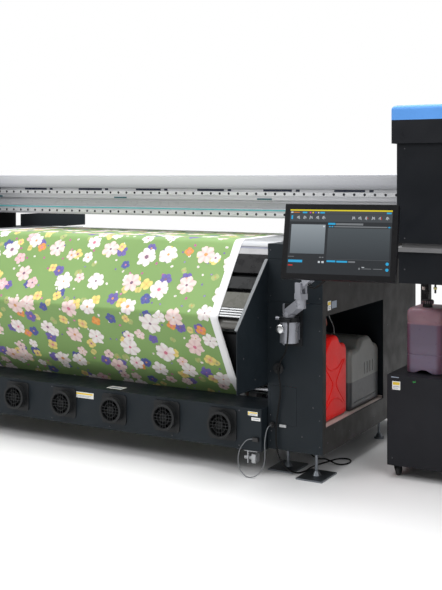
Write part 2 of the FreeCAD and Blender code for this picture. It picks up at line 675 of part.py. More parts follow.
def station(inner, outer, front, back):
    """The shell, tray and lid of a covered end of the gantry, open on its inner side."""
    skin, over = D.sheet_steel, D.lid_overhang
    right_hand = float(outer) > float(inner)
    x = (inner, outer) if right_hand else (outer, inner)
    wide = (x[0] - 1, x[1] - skin) if right_hand else (x[0] + skin, x[1] + 1)
    shell = cut(box(x, (front, back), (D.station_low, D.station_high)),
                box(wide, (front + skin, back - skin), (D.station_low - 1, D.station_high + 1)))
    hoop = (x[0], x[0] + skin) if right_hand else (x[1] - skin, x[1])
    knuckles, pins = lid_hinges(x, back)
    shell = join(shell, box(hoop, (front, back), (D.station_high - 34, D.station_high)), *pins)
    lid_x = (x[0] - over, x[1]) if right_hand else (x[0], x[1] + over)
    y = (front - over, back)
    band = cut(box(lid_x, y, (D.station_high + 1, D.lid_seam)),
               box((lid_x[0] + skin, lid_x[1] - skin), (y[0] + skin, y[1] - skin),
                   (D.station_high, D.lid_seam - skin)))
    top = rounded(box(lid_x, y, (D.lid_seam, D.lid_high)), 22, lambda p, t: p.z > float(D.lid_high) - 1)
    plate = box(lid_x, y, (D.tray_low, D.tray_high))
    well = box((x[0] + 25, x[1] - 25), (front + 60, back - 20), (D.tray_low - 1, D.tray_high + 1))
    inset = (x[0] + 20, x[1] - 20)
    ledges = [box(inset, (front + 15, front + 40), (D.tray_high - 1, D.station_low)),
              box(inset, (back - 40, back - 15), (D.tray_high - 1, D.station_low))]
    return shell, join(cut(plate, well), *ledges), group([join(band, *knuckles), top])


def stations():
    front, back, skin = D.station_front, D.station_back, D.sheet_steel
    shell, tray, lid = station(D.station_left, D.right_end, front, back)
    apron = join(box((D.station_left + 10, D.right_end), (front, front + skin), (D.apron_low, D.tray_low)),
                 box((D.station_left + 10, D.right_end), (front, 95), (D.apron_low, D.apron_low + skin)))
    collar = cut(rod((2100, front - 14, 1420), 24, 14, "Y"), rod((2100, front - 15, 1420), 9, 16, "Y"))
    pierced = cut(shell, rod((2100, front - 1, 1420), 9, 6, "Y"))
    node("head_station_shell", group([pierced, apron, collar]))
    node("head_station_tray", tray)
    node("head_station_lid", lid)
    button = join(rod((2100, front - 34, 1420), 20, 12, "Y"), rod((2100, front - 24, 1420), 8.9, 24, "Y"))
    node("stop_button", button)
    shell, tray, lid = station(D.left_station_right, D.left_end, front, D.left_station_back)
    node("left_station_shell", group([shell, tray]))
    node("left_station_lid", lid)
    left, right = D.left_end, D.zone_left - 20
    outer = box((left, right), (front, D.cabinet_back), (D.cabinet_low, D.tray_low))
    room = box((left + skin, right - skin), (front + skin, D.cabinet_back - skin),
               (D.cabinet_low + skin, D.tray_low - skin))
    slots = tube_windows((right - 5, right + 1))
    legs = [box((left + 39, left + 41 + D.tube_side), (row - 1, row + D.tube_side + 1), (120, 140))
            for row in (D.front_tube, D.rear_tube)]
    roof = box((-1931, -1829), (-41, 181), (1100, 1140))
    wall = cut(box((D.zone_left - 4, D.zone_left), (45, D.cabinet_back), (D.bed_top - 15, 1250)),
               box((D.zone_left - 5, D.zone_left + 1), (44, 181), (1100, 1166)))
    node("left_cabinet", group([cut(outer, room, *slots, *legs, roof), wall]))


# ---------------------------------------------------------------- carriage and its drive


def carriage():
    skin = D.sheet_steel
    x = (D.carriage_left, D.carriage_left + D.carriage_wide)
    y = (D.carriage_front, D.carriage_back)
    outer = rounded(box(x, y, (D.carriage_low, D.carriage_high)), 14, along("z"))
    inner = box((x[0] + skin, x[1] - skin), (y[0] + skin, y[1] - skin),
                (D.carriage_low - 1, D.carriage_high - skin))
    shell = cut(outer, inner)
    heads = []
    for column in range(4):
        for row in range(2):
            a, b = x[0] + 40 + 95 * column, y[0] + 45 + 150 * row
            heads.append(box((a, a + 60), (b, b + 110), (D.bed_top + D.head_gap, D.carriage_low + 60)))
    deck = box((x[0] + skin, x[1] - skin), (y[0] + skin, y[1] - skin),
               (D.carriage_low + 60, D.carriage_low + 70))
    node("print_heads", join(*heads, deck))
    blocks = []
    for level in (D.upper_rail_low - 2, D.lower_rail_low - 2):
        for a in (x[0] + 30, x[1] - 130):
            blocks.append(box((a, a + 100), (D.carriage_back, D.rail_face - 1.6), (level, level + 26)))
    node("carriage_shell", group([shell, *blocks]))


def capping():
    x = (D.carriage_left + 20, D.carriage_left + D.carriage_wide - 20)
    plate = box(x, (-410, -90), (1120, 1135))
    pads = []
    for column in range(4):
        for row in range(2):
            a = D.carriage_left + 36 + 95 * column
            b = D.carriage_front + 41 + 150 * row
            pad = box((a, a + 68), (b, b + 118), (1134, D.bed_top + 5))
            pads.append(cut(pad, box((a + 4, a + 64), (b + 4, b + 114), (1150, 1190))))
    node("capping_tray", join(plate, *pads))


# ---------------------------------------------------------------- ink cart


def cart():
    skin = D.sheet_steel
    x, y, z = (D.cart_left, D.cart_right), (D.cart_front, D.cart_back), (D.cart_low, D.cart_high)
    outer = rounded(box(x, y, z), 4, along("z"))
    inner = box((x[0] + skin, x[1] - skin), (y[0] + skin, y[1] - skin), (z[0] + skin, z[1] - skin))
    radius, rear_y = D.wheel_radius, y[1] - 45
    ears, wheels = [], []
    for cx in (x[0] + 40, x[1] - 40):
        for side in (-1, 1):
            ear = box((cx + side * 16 - 2, cx + side * 16 + 2), (rear_y - 16, rear_y + 16), (16, D.cart_low))
            ears.append(cut(ear, rod((cx - 30, rear_y, radius), 5.08, 60)))
        wheels.append(wheel(cx, rear_y))
    node("ink_cart", group([cut(outer, inner), *ears]))
    axle = rod((x[0] + 20, rear_y, radius), 5, x[1] - x[0] - 40)
    node("cart_rear_wheels", join(axle, *wheels))
    for number, cx in ((1, x[0] + 40), (2, x[1] - 40)):
        caster(number, cx, y[0] + 45)
    bottles = [bottle(D.bottle_first + D.bottle_pitch * k) for k in BOTTLES]
    node("magenta_bottle", group(bottles[0]))
    node("ink_bottles", group([part for pair in bottles[1:] for part in pair]))


def wheel(x, y):
    half = D.wheel_wide / 2
    return rounded(rod((x - half, y, D.wheel_radius), D.wheel_radius, D.wheel_wide), 5, lambda p, t: True)


def caster(number, x, y):
    trail, half, radius = 18, D.wheel_wide / 2, D.wheel_radius
    top = box((x - half - 4, x + half + 4), (y - 16, y + 24), (57, 60))
    stem = rod((x, y, 59), 9, 3.6, "Z")
    cheeks = []
    for a in (-half - 4, half + 1):
        outline = [(y - 12, 58), (y + 20, 58), (y + trail + 12, 40), (y + trail + 12, 20),
                   (y + trail - 12, 20), (y - 12, 45)]
        cheeks.append(padded("YZ", outline, x + a, 3))
    bore = rod((x - 20, y + trail, radius), 4.08, 40)
    node(f"caster_fork_{number}", cut(join(top, stem, *cheeks), bore))
    axle = rod((x - half - 4.5, y + trail, radius), 4, D.wheel_wide + 9)
    node(f"caster_wheel_{number}", join(wheel(x, y + trail), axle))


def bottle(x):
    """A translucent ink container with an arched foot and a screw mouth."""
    half, low = D.bottle_wide / 2, D.cart_high
    high = low + D.bottle_tall
    front, back = D.bottle_front, D.bottle_front + D.bottle_deep
    shell = rounded(box((x - half, x + half), (front, back), (low, high)), 24,
                    lambda p, t: abs(t.z) > 0.99 or p.z > float(high) - 1)
    arch = rod((x, front - 1, low - 38), 56, D.bottle_deep + 2, "Y")
    neck = rod((x, front + 70, high - 5), 24, 28, "Z")
    cap = cut(rod((x, front + 70, high + 23), 30, 20, "Z"), rod((x, front + 70, high + 22), 7, 25, "Z"))
    return [join(cut(shell, arch), neck), cap]


# ---------------------------------------------------------------- screen and arm


def local_box(at, turn, x, y, z):
    """A box in a turned frame whose origin is at a point."""
    item = doc.addObject("Part::Box", "Block")
    bind(item, Length=x[1] - x[0], Width=y[1] - y[0], Height=z[1] - z[0])
    corner = at + turn.multVec(Vector(float(x[0]), float(y[0]), float(z[0])))
    return place(item, corner.x, corner.y, corner.z, turn)


def local_rod(at, turn, start, radius, length, axis="Y"):
    """A cylinder in a turned frame."""
    item = bind(doc.addObject("Part::Cylinder", "Rod"), Radius=radius, Height=length)
    corner = at + turn.multVec(Vector(*[float(v) for v in start]))
    return place(item, corner.x, corner.y, corner.z, turn * AXES[axis])


def screen_frame():
    turn = Rotation(Vector(0, 0, 1), float(D.screen_turn)) * Rotation(Vector(1, 0, 0), float(D.screen_lean))
    return Vector(float(D.screen_x), float(D.screen_y), float(D.screen_level)), turn


def arm_frame():
    """The elbow and head pins, and the level and sloping frames of the upper link."""
    elbow = Vector(float(D.elbow_x), float(D.elbow_y), float(D.elbow_level) + 32)
    head = Vector(float(D.head_x), float(D.head_y), float(D.head_level))
    way = head - elbow
    level = Rotation(Vector(0, 0, 1), math.degrees(math.atan2(way.y, way.x)))
    rise = math.degrees(math.atan2(way.z, math.hypot(way.x, way.y)))
    return elbow, head, way.Length, level, level * Rotation(Vector(0, 1, 0), -rise)


def screen():
    at, turn = screen_frame()
    wide, tall, thick = D.screen_wide / 2, D.screen_tall / 2, D.screen_thick
    case = local_box(at, turn, (-wide, wide), (0, thick), (-tall, tall))
    pane = (-D.panel_wide / 2, D.panel_wide / 2), (-D.panel_tall / 2, D.panel_tall / 2)
    recess = local_box(at, turn, pane[0], (-1, 3), pane[1])
    panel = local_box(at, turn, pane[0], (0.4, 3), pane[1])
    back = local_box(at, turn, (-110, 110), (thick - 1, thick + 18), (-90, 90))
    lugs = [local_box(at, turn, x, (thick + 17, 84), (-12, 12)) for x in ((-34, -26), (26, 34))]
    bores = local_rod(at, turn, (-40, 72, 0), 6.08, 80, "X")
    node("screen_case", group([cut(join(case, back, *lugs), recess, bores), panel]))
    _, head, _, level, _ = arm_frame()
    barrel = [local_rod(at, turn, (-25, 72, 0), 11, 50, "X"), local_rod(at, turn, (-35, 72, 0), 6, 70, "X")]
    ring = local_rod(head, level, (45, 16, 8), 18, 32, "Z")
    neck = local_box(head, level, (36, 58), (-24, 8), (24, 39.5))
    bore = local_rod(head, level, (45, 16, 0), 10, 45, "Z")
    collar = cut(join(ring, neck), bore)
    node("screen_tilt_head", join(collar, join(*barrel)))


def link(start, end, wide, tall):
    """A straight arm between two points, wide across and tall upright."""
    a, b = Vector(*[float(v) for v in start]), Vector(*[float(v) for v in end])
    way = b - a
    flat = math.degrees(math.atan2(way.y, way.x))
    rise = math.degrees(math.atan2(way.z, math.hypot(way.x, way.y)))
    turn = Rotation(Vector(0, 0, 1), flat) * Rotation(Vector(0, 1, 0), -rise)
    return local_box(a, turn, (0, way.Length), (-wide / 2, wide / 2), (-tall / 2, tall / 2))


def arm():
    front = D.cabinet_front
    wall = rounded(box((616, 724), (front - 6, front), (657, 866)), 8, along("y"))
    px, py = D.post_x, D.post_y
    back = box((px - 34, px + 34), (front - 12, front - 5), (D.post_low + 10, D.post_high - 10))
    post = rod((px, py, D.post_low), D.post_radius, D.post_high - D.post_low, "Z")
    ring = cut(rod((px, py, D.post_high + 1), 50, 22, "Z"), rod((px, py, D.post_high), 30, 30, "Z"))
    knob = rod((px - 72, py, D.post_high + 12), 9, 30)
    grommet = box((px + 8, px + 32), (-764, -742), (789, D.post_high + 19))
    node("arm_mount", group([join(wall, back), cut(post, back), join(ring, knob, grommet)]))
    elbow, head, size, level, slope = arm_frame()
    hub = rod((px, py, D.post_high + 0.5), 29.5, 44, "Z")
    lower = link((px, py, D.post_high + 42), (elbow.x, elbow.y, elbow.z - 82), 44, 42)
    socket = rod((elbow.x, elbow.y, elbow.z - 106), 24, 44, "Z")
    above = box((600, 900), (-900, -600), (elbow.z - 62.5, elbow.z + 40))
    pivot = rod((elbow.x, elbow.y, elbow.z - 63), 8, 18, "Z")
    node("arm_lower_link", join(cut(join(hub, lower, socket), above), pivot))
    cheeks = [local_box(elbow, level, (-20, 20), y, (-34, 19)) for y in ((-22, -11), (11, 22))]
    base = local_box(elbow, level, (-24, 24), (-22, 22), (-62, -33))
    pin = local_rod(elbow, level, (0, -22, 0), 6, 44)
    well = rod((elbow.x, elbow.y, elbow.z - 63), 8.08, 20, "Z")
    node("arm_elbow_block", join(cut(join(base, *cheeks), well), pin))
    tongues = [local_rod(elbow, slope, (x, -10, 0), 15, 20) for x in (0, size)]
    tongues += [local_box(elbow, slope, x, (-10, 10), (-13, 13)) for x in ((0, 44), (size - 44, size))]
    bar = rounded(local_box(elbow, slope, (42, size - 42), (-20, 20), (-17, 17)), 5,
                  lambda p, t: abs(t.dot(slope.multVec(Vector(1, 0, 0)))) > 0.99)
    eyes = [local_rod(elbow, slope, (x, -11, 0), 6.08, 22) for x in (0, size)]
    node("arm_upper_link", cut(join(bar, *tongues), *eyes))
    cheeks = [local_box(head, level, (-16, 26), y, (-18, 18)) for y in ((-20, -11), (11, 20))]
    block = local_box(head, level, (24, 62), (-20, 34), (-18, 6))
    pin = local_rod(head, level, (0, -20, 0), 6, 40)
    post = local_rod(head, level, (45, 16, 0), 9.95, 42, "Z")
    node("screen_yoke", join(block, *cheeks, pin, post))


# ---------------------------------------------------------------- fittings, tubes and cords


def fittings():
    front = D.cabinet_front
    hook = join(rod((597, front - 20, 541), 9, 20, "Y"),
                cut(rod((597, front - 20, 541), 27, 7, "Y"), rod((597, front - 21, 541), 12, 9, "Y")))
    gland = join(rod((557, front - 14, 253), 13, 14, "Y"), rod((557, front - 22, 253), 8, 10, "Y"))
    socket = box((598, 634), (front - 7, front), (246, 259))
    lug = join(box((430, 506), (-712, -640), (121, 123.9)), box((446, 452), (-706, -650), (60, 122)),
               rod((425, -690, 84), 10, 70), box((470, 492), (-706, -660), (62, 106)))
    inlet = box((482, 512), (D.blower_front - 14, D.blower_front), (174, 194))
    node("cable_fittings", group([hook, gland, socket, lug, inlet]))


def cord_solids():
    """The leads, each a list of points chosen by hand: name, diameter, route."""
    arm_lead = [
        (697, -754, 789), (697, -754, 752), (694, -752, 712), (684, -742, 670), (660, -714, 630),
        (624, -686, 588), (600, -671, 542), (604, -667, 494), (611, -661, 446), (606, -658, 398),
        (597, -657, 350), (590, -656, 302), (584, -658, 252), (584, -662, 202), (588, -662, 152),
        (596, -657, 104), (613, -645, 60), (636, -620, 25), (658, -586, 8), (676, -546, 4.2),
        (683, -498, 4.2), (678, -448, 4.2), (684, -396, 4.2), (698, -346, 4.2), (713, -296, 4.2),
        (725, -250, 4.2), (748, -210, 4.2), (785, -200, 4.2), (812, -228, 4.2), (820, -272, 4.2),
        (806, -314, 4.2), (775, -339, 8), (738, -337, 20), (700, -312, 20), (663, -286, 7),
        (620, -268, 5), (586, -260, 22), (566, -256, 58), (561, -256, 98), (561, -256.5, 129.9),
    ]
    blower_lead = [
        (557, -665, 253), (557, -688, 253), (554, -705, 235), (550, -711, 203), (549, -716, 165),
        (553, -720, 127), (556, -727, 89), (549, -738, 52), (529, -748, 21), (498, -753, 4),
        (464, -754, 4.5), (435, -751, 23), (416, -745, 56), (409, -737, 93), (414, -728, 128),
        (432, -720, 160), (456, -714, 184), (482, -714, 184),
    ]
    arm_cable = [
        (817.8, -783.4, 987.0), (827.7, -788.1, 970.3), (847.8, -797.5, 965.7), (871.4, -808.7, 977.0),
        (898.1, -821.2, 994.0), (923.3, -833.0, 1013.6), (944.7, -843.1, 1034.0), (959.6, -850.1, 1050.8),
        (965.2, -852.7, 1070.5), (955.2, -848.1, 1087.2),
    ]
    node("arm_lead", feature(tube(arm_lead, 8, "arm_lead")))
    node("blower_lead", feature(tube(blower_lead, 5, "blower_lead")))
    for number, (dx, dy) in ((1, (0, 0)), (2, (5, 11))):
        route = [(x + dx, y + dy, z) for x, y, z in arm_cable]
        node(f"arm_cable_{number}", feature(tube(route, 7, f"arm_cable_{number}")))


def build():
    base_frame()
    feet()
    gantry()
    bed()
    dryer()
    side_plates()
    rollers()
    cloth()
    blower()
    cabinet()
    cans()
    stations()
    carriage()
    capping()
    cart()
    screen()
    arm()
    fittings()
    cord_solids()


build()
doc.recompute()

faults = [f"{o.Name} ({o.Label}): {o.State}" for o in doc.Objects if {"Invalid", "Error"} & set(o.State)]
for item in nodes:
    if item.Shape.isNull() or not item.Shape.isValid() or not item.Shape.Solids:
        faults.append(f"{item.Label}: no valid solid")
if faults:
    raise RuntimeError("\n".join(faults))

os.makedirs("parts", exist_ok=True)
for item in nodes:
    item.Shape.exportStep(f"parts/{item.Label}.step")
print(f"{len(nodes)} nodes")
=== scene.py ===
"""Looks for the wide-format textile printer: finishes, cloth, waste cans, ink bottles, screen, leads."""
from math import asin, atan2, ceil, cos, pi, radians, sin, sqrt, tan

import bmesh
import bpy
from mathutils import Matrix, Vector


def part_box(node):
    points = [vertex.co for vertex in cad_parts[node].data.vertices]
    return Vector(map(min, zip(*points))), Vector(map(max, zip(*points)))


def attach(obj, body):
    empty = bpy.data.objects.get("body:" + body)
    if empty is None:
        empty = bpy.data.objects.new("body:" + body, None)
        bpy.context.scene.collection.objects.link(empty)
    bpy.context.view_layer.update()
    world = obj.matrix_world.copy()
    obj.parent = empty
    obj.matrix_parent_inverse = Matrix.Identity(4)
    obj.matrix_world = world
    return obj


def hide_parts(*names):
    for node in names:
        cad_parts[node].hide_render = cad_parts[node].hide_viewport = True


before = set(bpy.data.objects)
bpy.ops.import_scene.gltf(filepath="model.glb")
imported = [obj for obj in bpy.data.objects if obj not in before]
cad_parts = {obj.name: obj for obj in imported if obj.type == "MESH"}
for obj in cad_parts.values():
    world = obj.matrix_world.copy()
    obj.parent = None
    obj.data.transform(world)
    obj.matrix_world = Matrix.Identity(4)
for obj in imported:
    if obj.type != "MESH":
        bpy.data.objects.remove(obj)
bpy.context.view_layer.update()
MM = 0.001


# ---- material graphs


class Graph:
    """A material with short calls that add its nodes. Object coordinates are the frame's, in metres."""

    def __init__(self, name, color=(0.5, 0.5, 0.5), roughness=0.5, metallic=0.0, coat=0.0):
        self.material = bpy.data.materials.new(name)
        self.material.use_nodes = True
        self.tree = self.material.node_tree
        self.shader = self.tree.nodes["Principled BSDF"]
        self.material.diffuse_color = (*color, 1)
        self.paint((*color, 1))
        self.set("Roughness", roughness)
        self.set("Metallic", metallic)
        self.set("Coat Weight", coat)
        self.place = self.node("ShaderNodeTexCoord").outputs["Object"]

    def set(self, socket, value):
        self.feed(self.shader.inputs[socket], value)

    def paint(self, color):
        self.set("Base Color", color)

    def feed(self, socket, value):
        if isinstance(value, bpy.types.NodeSocket):
            self.tree.links.new(value, socket)
        else:
            socket.default_value = value

    def node(self, kind, inputs=(), **settings):
        made = self.tree.nodes.new(kind)
        for key, value in settings.items():
            setattr(made, key, value)
        for key, value in dict(inputs).items():
            self.feed(made.inputs[key], value)
        return made

    def math(self, operation, a, b=0.0):
        return self.node("ShaderNodeMath", {0: a, 1: b}, operation=operation).outputs[0]

    def times(self, first, *others):
        for other in others:
            first = self.math("MULTIPLY", first, other)
        return first

    def above(self, value, level):
        return self.math("GREATER_THAN", value, level)

    def below(self, value, level):
        return self.math("LESS_THAN", value, level)

    def invert(self, share):
        return self.math("SUBTRACT", 1.0, share)

    def vector(self, operation, a, b=(0, 0, 0)):
        return self.node("ShaderNodeVectorMath", {0: a, 1: b}, operation=operation).outputs[0]

    def measure(self, operation, a, b=(0, 0, 0)):
        """A vector operation with one value as its result: a length or a dot product."""
        return self.node("ShaderNodeVectorMath", {0: a, 1: b}, operation=operation).outputs["Value"]

    def along(self, start, way):
        """How far a point of the surface lies from start in one direction."""
        return self.measure("DOT_PRODUCT", self.vector("SUBTRACT", self.place, start), way)

    def axis(self, letter, vector=None):
        vector = self.place if vector is None else vector
        return self.node("ShaderNodeSeparateXYZ", {0: vector}).outputs["XYZ".index(letter)]

    def noise(self, size, detail=3.0, vector=None):
        inputs = {"Vector": self.place if vector is None else vector, "Scale": 1 / size, "Detail": detail}
        return self.node("ShaderNodeTexNoise", inputs).outputs[0]

    def mix(self, share, a, b, blend="MIX"):
        made = self.node("ShaderNodeMix", {0: share, 6: a, 7: b}, data_type="RGBA", blend_type=blend)
        return made.outputs[2]

    def spread(self, value, low, high, start=0.3, end=0.7):
        made = self.node("ShaderNodeMapRange", {0: value, 1: start, 2: end, 3: low, 4: high})
        return made.outputs[0]

    def ramp(self, value, stops, interpolation="LINEAR"):
        made = self.node("ShaderNodeValToRGB", {0: value})
        ramp = made.color_ramp
        ramp.interpolation = interpolation
        while len(ramp.elements) < len(stops):
            ramp.elements.new(1.0)
        for element, (position, color) in zip(ramp.elements, stops):
            element.position = position
            element.color = (*color, 1)
        return made.outputs[0]

    def bump(self, height, distance, strength=1.0):
        made = self.node("ShaderNodeBump", {"Height": height, "Distance": distance, "Strength": strength})
        self.set("Normal", made.outputs[0])

    def vary(self, color, amount=0.12, size=0.35):
        """The colour, a little lighter and darker in soft patches."""
        light = tuple(min(1, c * (1 + amount)) for c in color)
        dark = tuple(c * (1 - amount) for c in color)
        return self.ramp(self.noise(size, 4), [(0.3, dark), (0.7, light)])


def powder(name, color, roughness=0.5, grain=1.6 * MM, vary=0.14):
    """Powder-coated sheet: fine orange peel, faint dust and rubbed patches."""
    g = Graph(name, color, roughness)
    g.set("Specular IOR Level", 0.2)
    g.paint(g.vary(color, vary))
    g.set("Roughness", g.spread(g.noise(0.09, 5), roughness - 0.07, roughness + 0.1))
    g.bump(g.noise(grain, 2), 0.25 * MM, 0.35)
    return g


def brushed(name, color, along, roughness=0.3, metallic=1.0):
    """Metal with fine lines along one axis."""
    g = Graph(name, color, roughness, metallic)
    factors = tuple(0.02 if letter == along else 1.0 for letter in "XYZ")
    lines = g.noise(1.5 * MM, 2, g.vector("MULTIPLY", g.place, factors))
    dark = tuple(c * 0.86 for c in color)
    g.paint(g.ramp(lines, [(0.3, dark), (0.7, color)]))
    g.set("Roughness", g.spread(lines, roughness - 0.06, roughness + 0.1))
    g.bump(lines, 0.05 * MM, 0.3)
    return g


def moulded(name, color, roughness=0.42, coat=0.0, grain=0.8 * MM):
    """Moulded plastic with a light grain."""
    g = Graph(name, color, roughness, coat=coat)
    g.paint(g.vary(color, 0.08, 0.12))
    g.set("Roughness", g.spread(g.noise(0.03, 4), roughness - 0.05, roughness + 0.06))
    g.bump(g.noise(grain, 2), 0.08 * MM, 0.3)
    return g


BLUE_BLACK = (0.0115, 0.0165, 0.021)
FRAME_BLACK = (0.014, 0.015, 0.017)
ARM_SILVER = (0.36, 0.37, 0.41)
SLOPE_START = Vector((0, -480, 1165)) * MM
SLOPE_END = Vector((0, -750, 785)) * MM
SLOPE = (SLOPE_END - SLOPE_START).normalized()


def inside_box(g, low, high):
    """1 inside a box of the frame, else 0."""
    share = 1.0
    for letter, a, b in zip("XYZ", low, high):
        share = g.times(share, g.above(g.axis(letter), a), g.below(g.axis(letter), b))
    return share


def mount_finish():
    """Silver post, black ring and wall plate, bright knob."""
    g = powder("arm_mount", ARM_SILVER, 0.3, 1.0 * MM, 0.05)
    plate_deep, ring_low, knob_right = 6.5 * MM, 0.7865, 0.6265
    plate = g.above(g.axis("Y"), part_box("arm_mount")[1].y - plate_deep)
    ring, knob = g.above(g.axis("Z"), ring_low), g.below(g.axis("X"), knob_right)
    black = g.times(g.math("MAXIMUM", plate, ring), g.invert(knob))
    g.paint(g.mix(black, g.vary(ARM_SILVER, 0.05), (*FRAME_BLACK, 1)))
    g.set("Metallic", g.times(g.invert(black), 0.6))
    return g


def fittings_finish():
    """Black moulded fittings; the latch under the box and the cabinet's socket are bright metal."""
    black = (0.014, 0.014, 0.015)
    g = moulded("fittings", black, 0.4)
    latch = inside_box(g, (0.40, -0.72, 0.0), (0.52, -0.60, 0.1245))
    socket = inside_box(g, (0.596, -0.70, 0.244), (0.636, -0.60, 0.261))
    bright = g.math("MAXIMUM", latch, socket)
    g.paint(g.mix(bright, (*black, 1), (0.42, 0.43, 0.44, 1)))
    g.set("Metallic", g.times(bright, 0.8))
    return g


def plates_finish():
    """Blue-black side plates with a light grey strip along the folded sloping edge."""
    g = powder("side_plates", BLUE_BLACK, 0.42)
    corner, way = (0, -0.967, 0.763), Vector((0, 0.324, 0.321)).normalized()
    fold_deep, fold_end = 3.4 * MM, -0.6435
    fold = g.times(g.above(g.along(corner, (0, -way.z, way.y)), -fold_deep), g.below(g.axis("Y"), fold_end))
    g.paint(g.mix(fold, g.vary(BLUE_BLACK, 0.14), (0.17, 0.18, 0.19, 1)))
    return g


def lid_finish():
    """A black band under a satin blue top."""
    g = powder("lid_blue_black", (0.1, 0.3, 0.7), 0.34)
    blue_high = 71 * MM
    high = g.above(g.axis("Z"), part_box("head_station_lid")[1].z - blue_high)
    g.paint(g.mix(high, (0.012, 0.013, 0.016, 1), g.vary((0.115, 0.33, 0.78), 0.08, 0.5)))
    return g


def rail_finish():
    """Ground steel rails whose recessed screws are dark: black screw heads, with painted shade in their
    bores.
    """
    steel, heights = (0.84, 0.85, 0.87), (1.284, 1.401)
    pitch, start, bore = 60 * MM, -2.0, 7.5 * MM
    g = brushed("rail_steel", steel, "X", 0.3, 0.6)
    cell = g.math("DIVIDE", g.math("SUBTRACT", g.axis("X"), start), pitch)
    across = g.times(g.math("SUBTRACT", g.math("FRACT", g.math("ADD", cell, 0.5)), 0.5), pitch)
    hole = 0.0
    for height in heights:
        rise = g.math("SUBTRACT", g.axis("Z"), height)
        far = g.math("SQRT", g.math("ADD", g.times(across, across), g.times(rise, rise)))
        hole = g.math("MAXIMUM", hole, g.below(far, bore))
    # dark discs at the screws: black screw heads, partly painted shade of the recessed bores
    g.paint(g.mix(hole, (*steel, 1), (0.015, 0.015, 0.02, 1)))
    g.set("Metallic", g.times(g.invert(hole), 0.6))
    return g


def cover_finish():
    """The beam's cover: light grey paint, with painted light and shade: bright on top and darker towards its
    foot.
    """
    g = powder("cover_grey", (0.55, 0.56, 0.58), 0.35, vary=0.05)
    low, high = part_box("beam_cover")
    stops = [(0.0, (0.30, 0.31, 0.33)), (0.35, (0.52, 0.53, 0.56)), (1.0, (0.64, 0.65, 0.68))]
    # painted shade: one grey paint ramped from dark at the foot to bright on top, standing in for the light
    # from above
    g.paint(g.ramp(g.spread(g.axis("Z"), 0, 1, low.z, high.z), stops))
    return g


def insert_finish():
    """Slots and scale in the beam, upwards: a teal strip, silver clips, dark teal and dark blue slots."""
    g = moulded("beam_insert", (0.02, 0.03, 0.06), 0.3, 0.3)
    low, high = 1.30, 1.43
    stops = [(0.0, (0.10, 0.42, 0.46)), (0.09, (0.36, 0.37, 0.39)), (0.42, (0.02, 0.10, 0.12)),
             (0.65, (0.012, 0.018, 0.045))]
    g.paint(g.ramp(g.spread(g.axis("Z"), 0, 1, low, high), stops, "CONSTANT"))
    return g


def dryer_finish():
    """The four heater panels, from bright at the top to grey beige at the bottom, with soft patches."""
    g = Graph("dryer_panels", (0.05, 0.05, 0.05), 0.3)
    g.set("Specular IOR Level", 0.22)
    face_long = 0.42
    stops = [(0.0, (0.26, 0.27, 0.33)), (0.12, (0.40, 0.40, 0.41)), (0.20, (0.004, 0.004, 0.005)),
             (0.50, (0.018, 0.019, 0.020)), (0.73, (0.125, 0.125, 0.11))]
    bands = g.ramp(g.math("DIVIDE", g.along(SLOPE_START, SLOPE), face_long), stops, "CONSTANT")
    tone = g.spread(g.noise(0.2, 4), 0.9, 1.1)
    patches = g.node("ShaderNodeCombineColor", {0: tone, 1: tone, 2: tone}).outputs[0]
    g.paint(g.mix(1.0, bands, patches, "MULTIPLY"))
    g.set("Roughness", g.spread(g.noise(0.05, 5), 0.22, 0.36))
    return g


def rib_finish():
    """Silver ribs with the recessed plate between them painted near black as painted shade, and a grey nose
    bar below them.
    """
    silver = (0.50, 0.51, 0.52)
    rib_deep, bar_radius = 7.8 * MM, 28.6 * MM
    bar_centre = (0, SLOPE_END.y + 50 * MM, SLOPE_END.z - 32 * MM)
    g = brushed("rib_silver", silver, "X", 0.3, 0.8)
    plate = g.below(g.along(SLOPE_START, (0, SLOPE.z, -SLOPE.y)), -rib_deep)
    away = g.vector("SUBTRACT", g.vector("MULTIPLY", g.place, (0, 1, 1)), bar_centre)
    bar = g.below(g.measure("LENGTH", away), bar_radius)
    # painted shade: the recessed plate between the ribs is painted near black
    tone = g.mix(plate, (*silver, 1), (0.01, 0.01, 0.011, 1))
    g.paint(g.mix(bar, tone, (0.13, 0.125, 0.115, 1)))
    g.set("Metallic", g.times(g.invert(bar), 0.7))
    return g


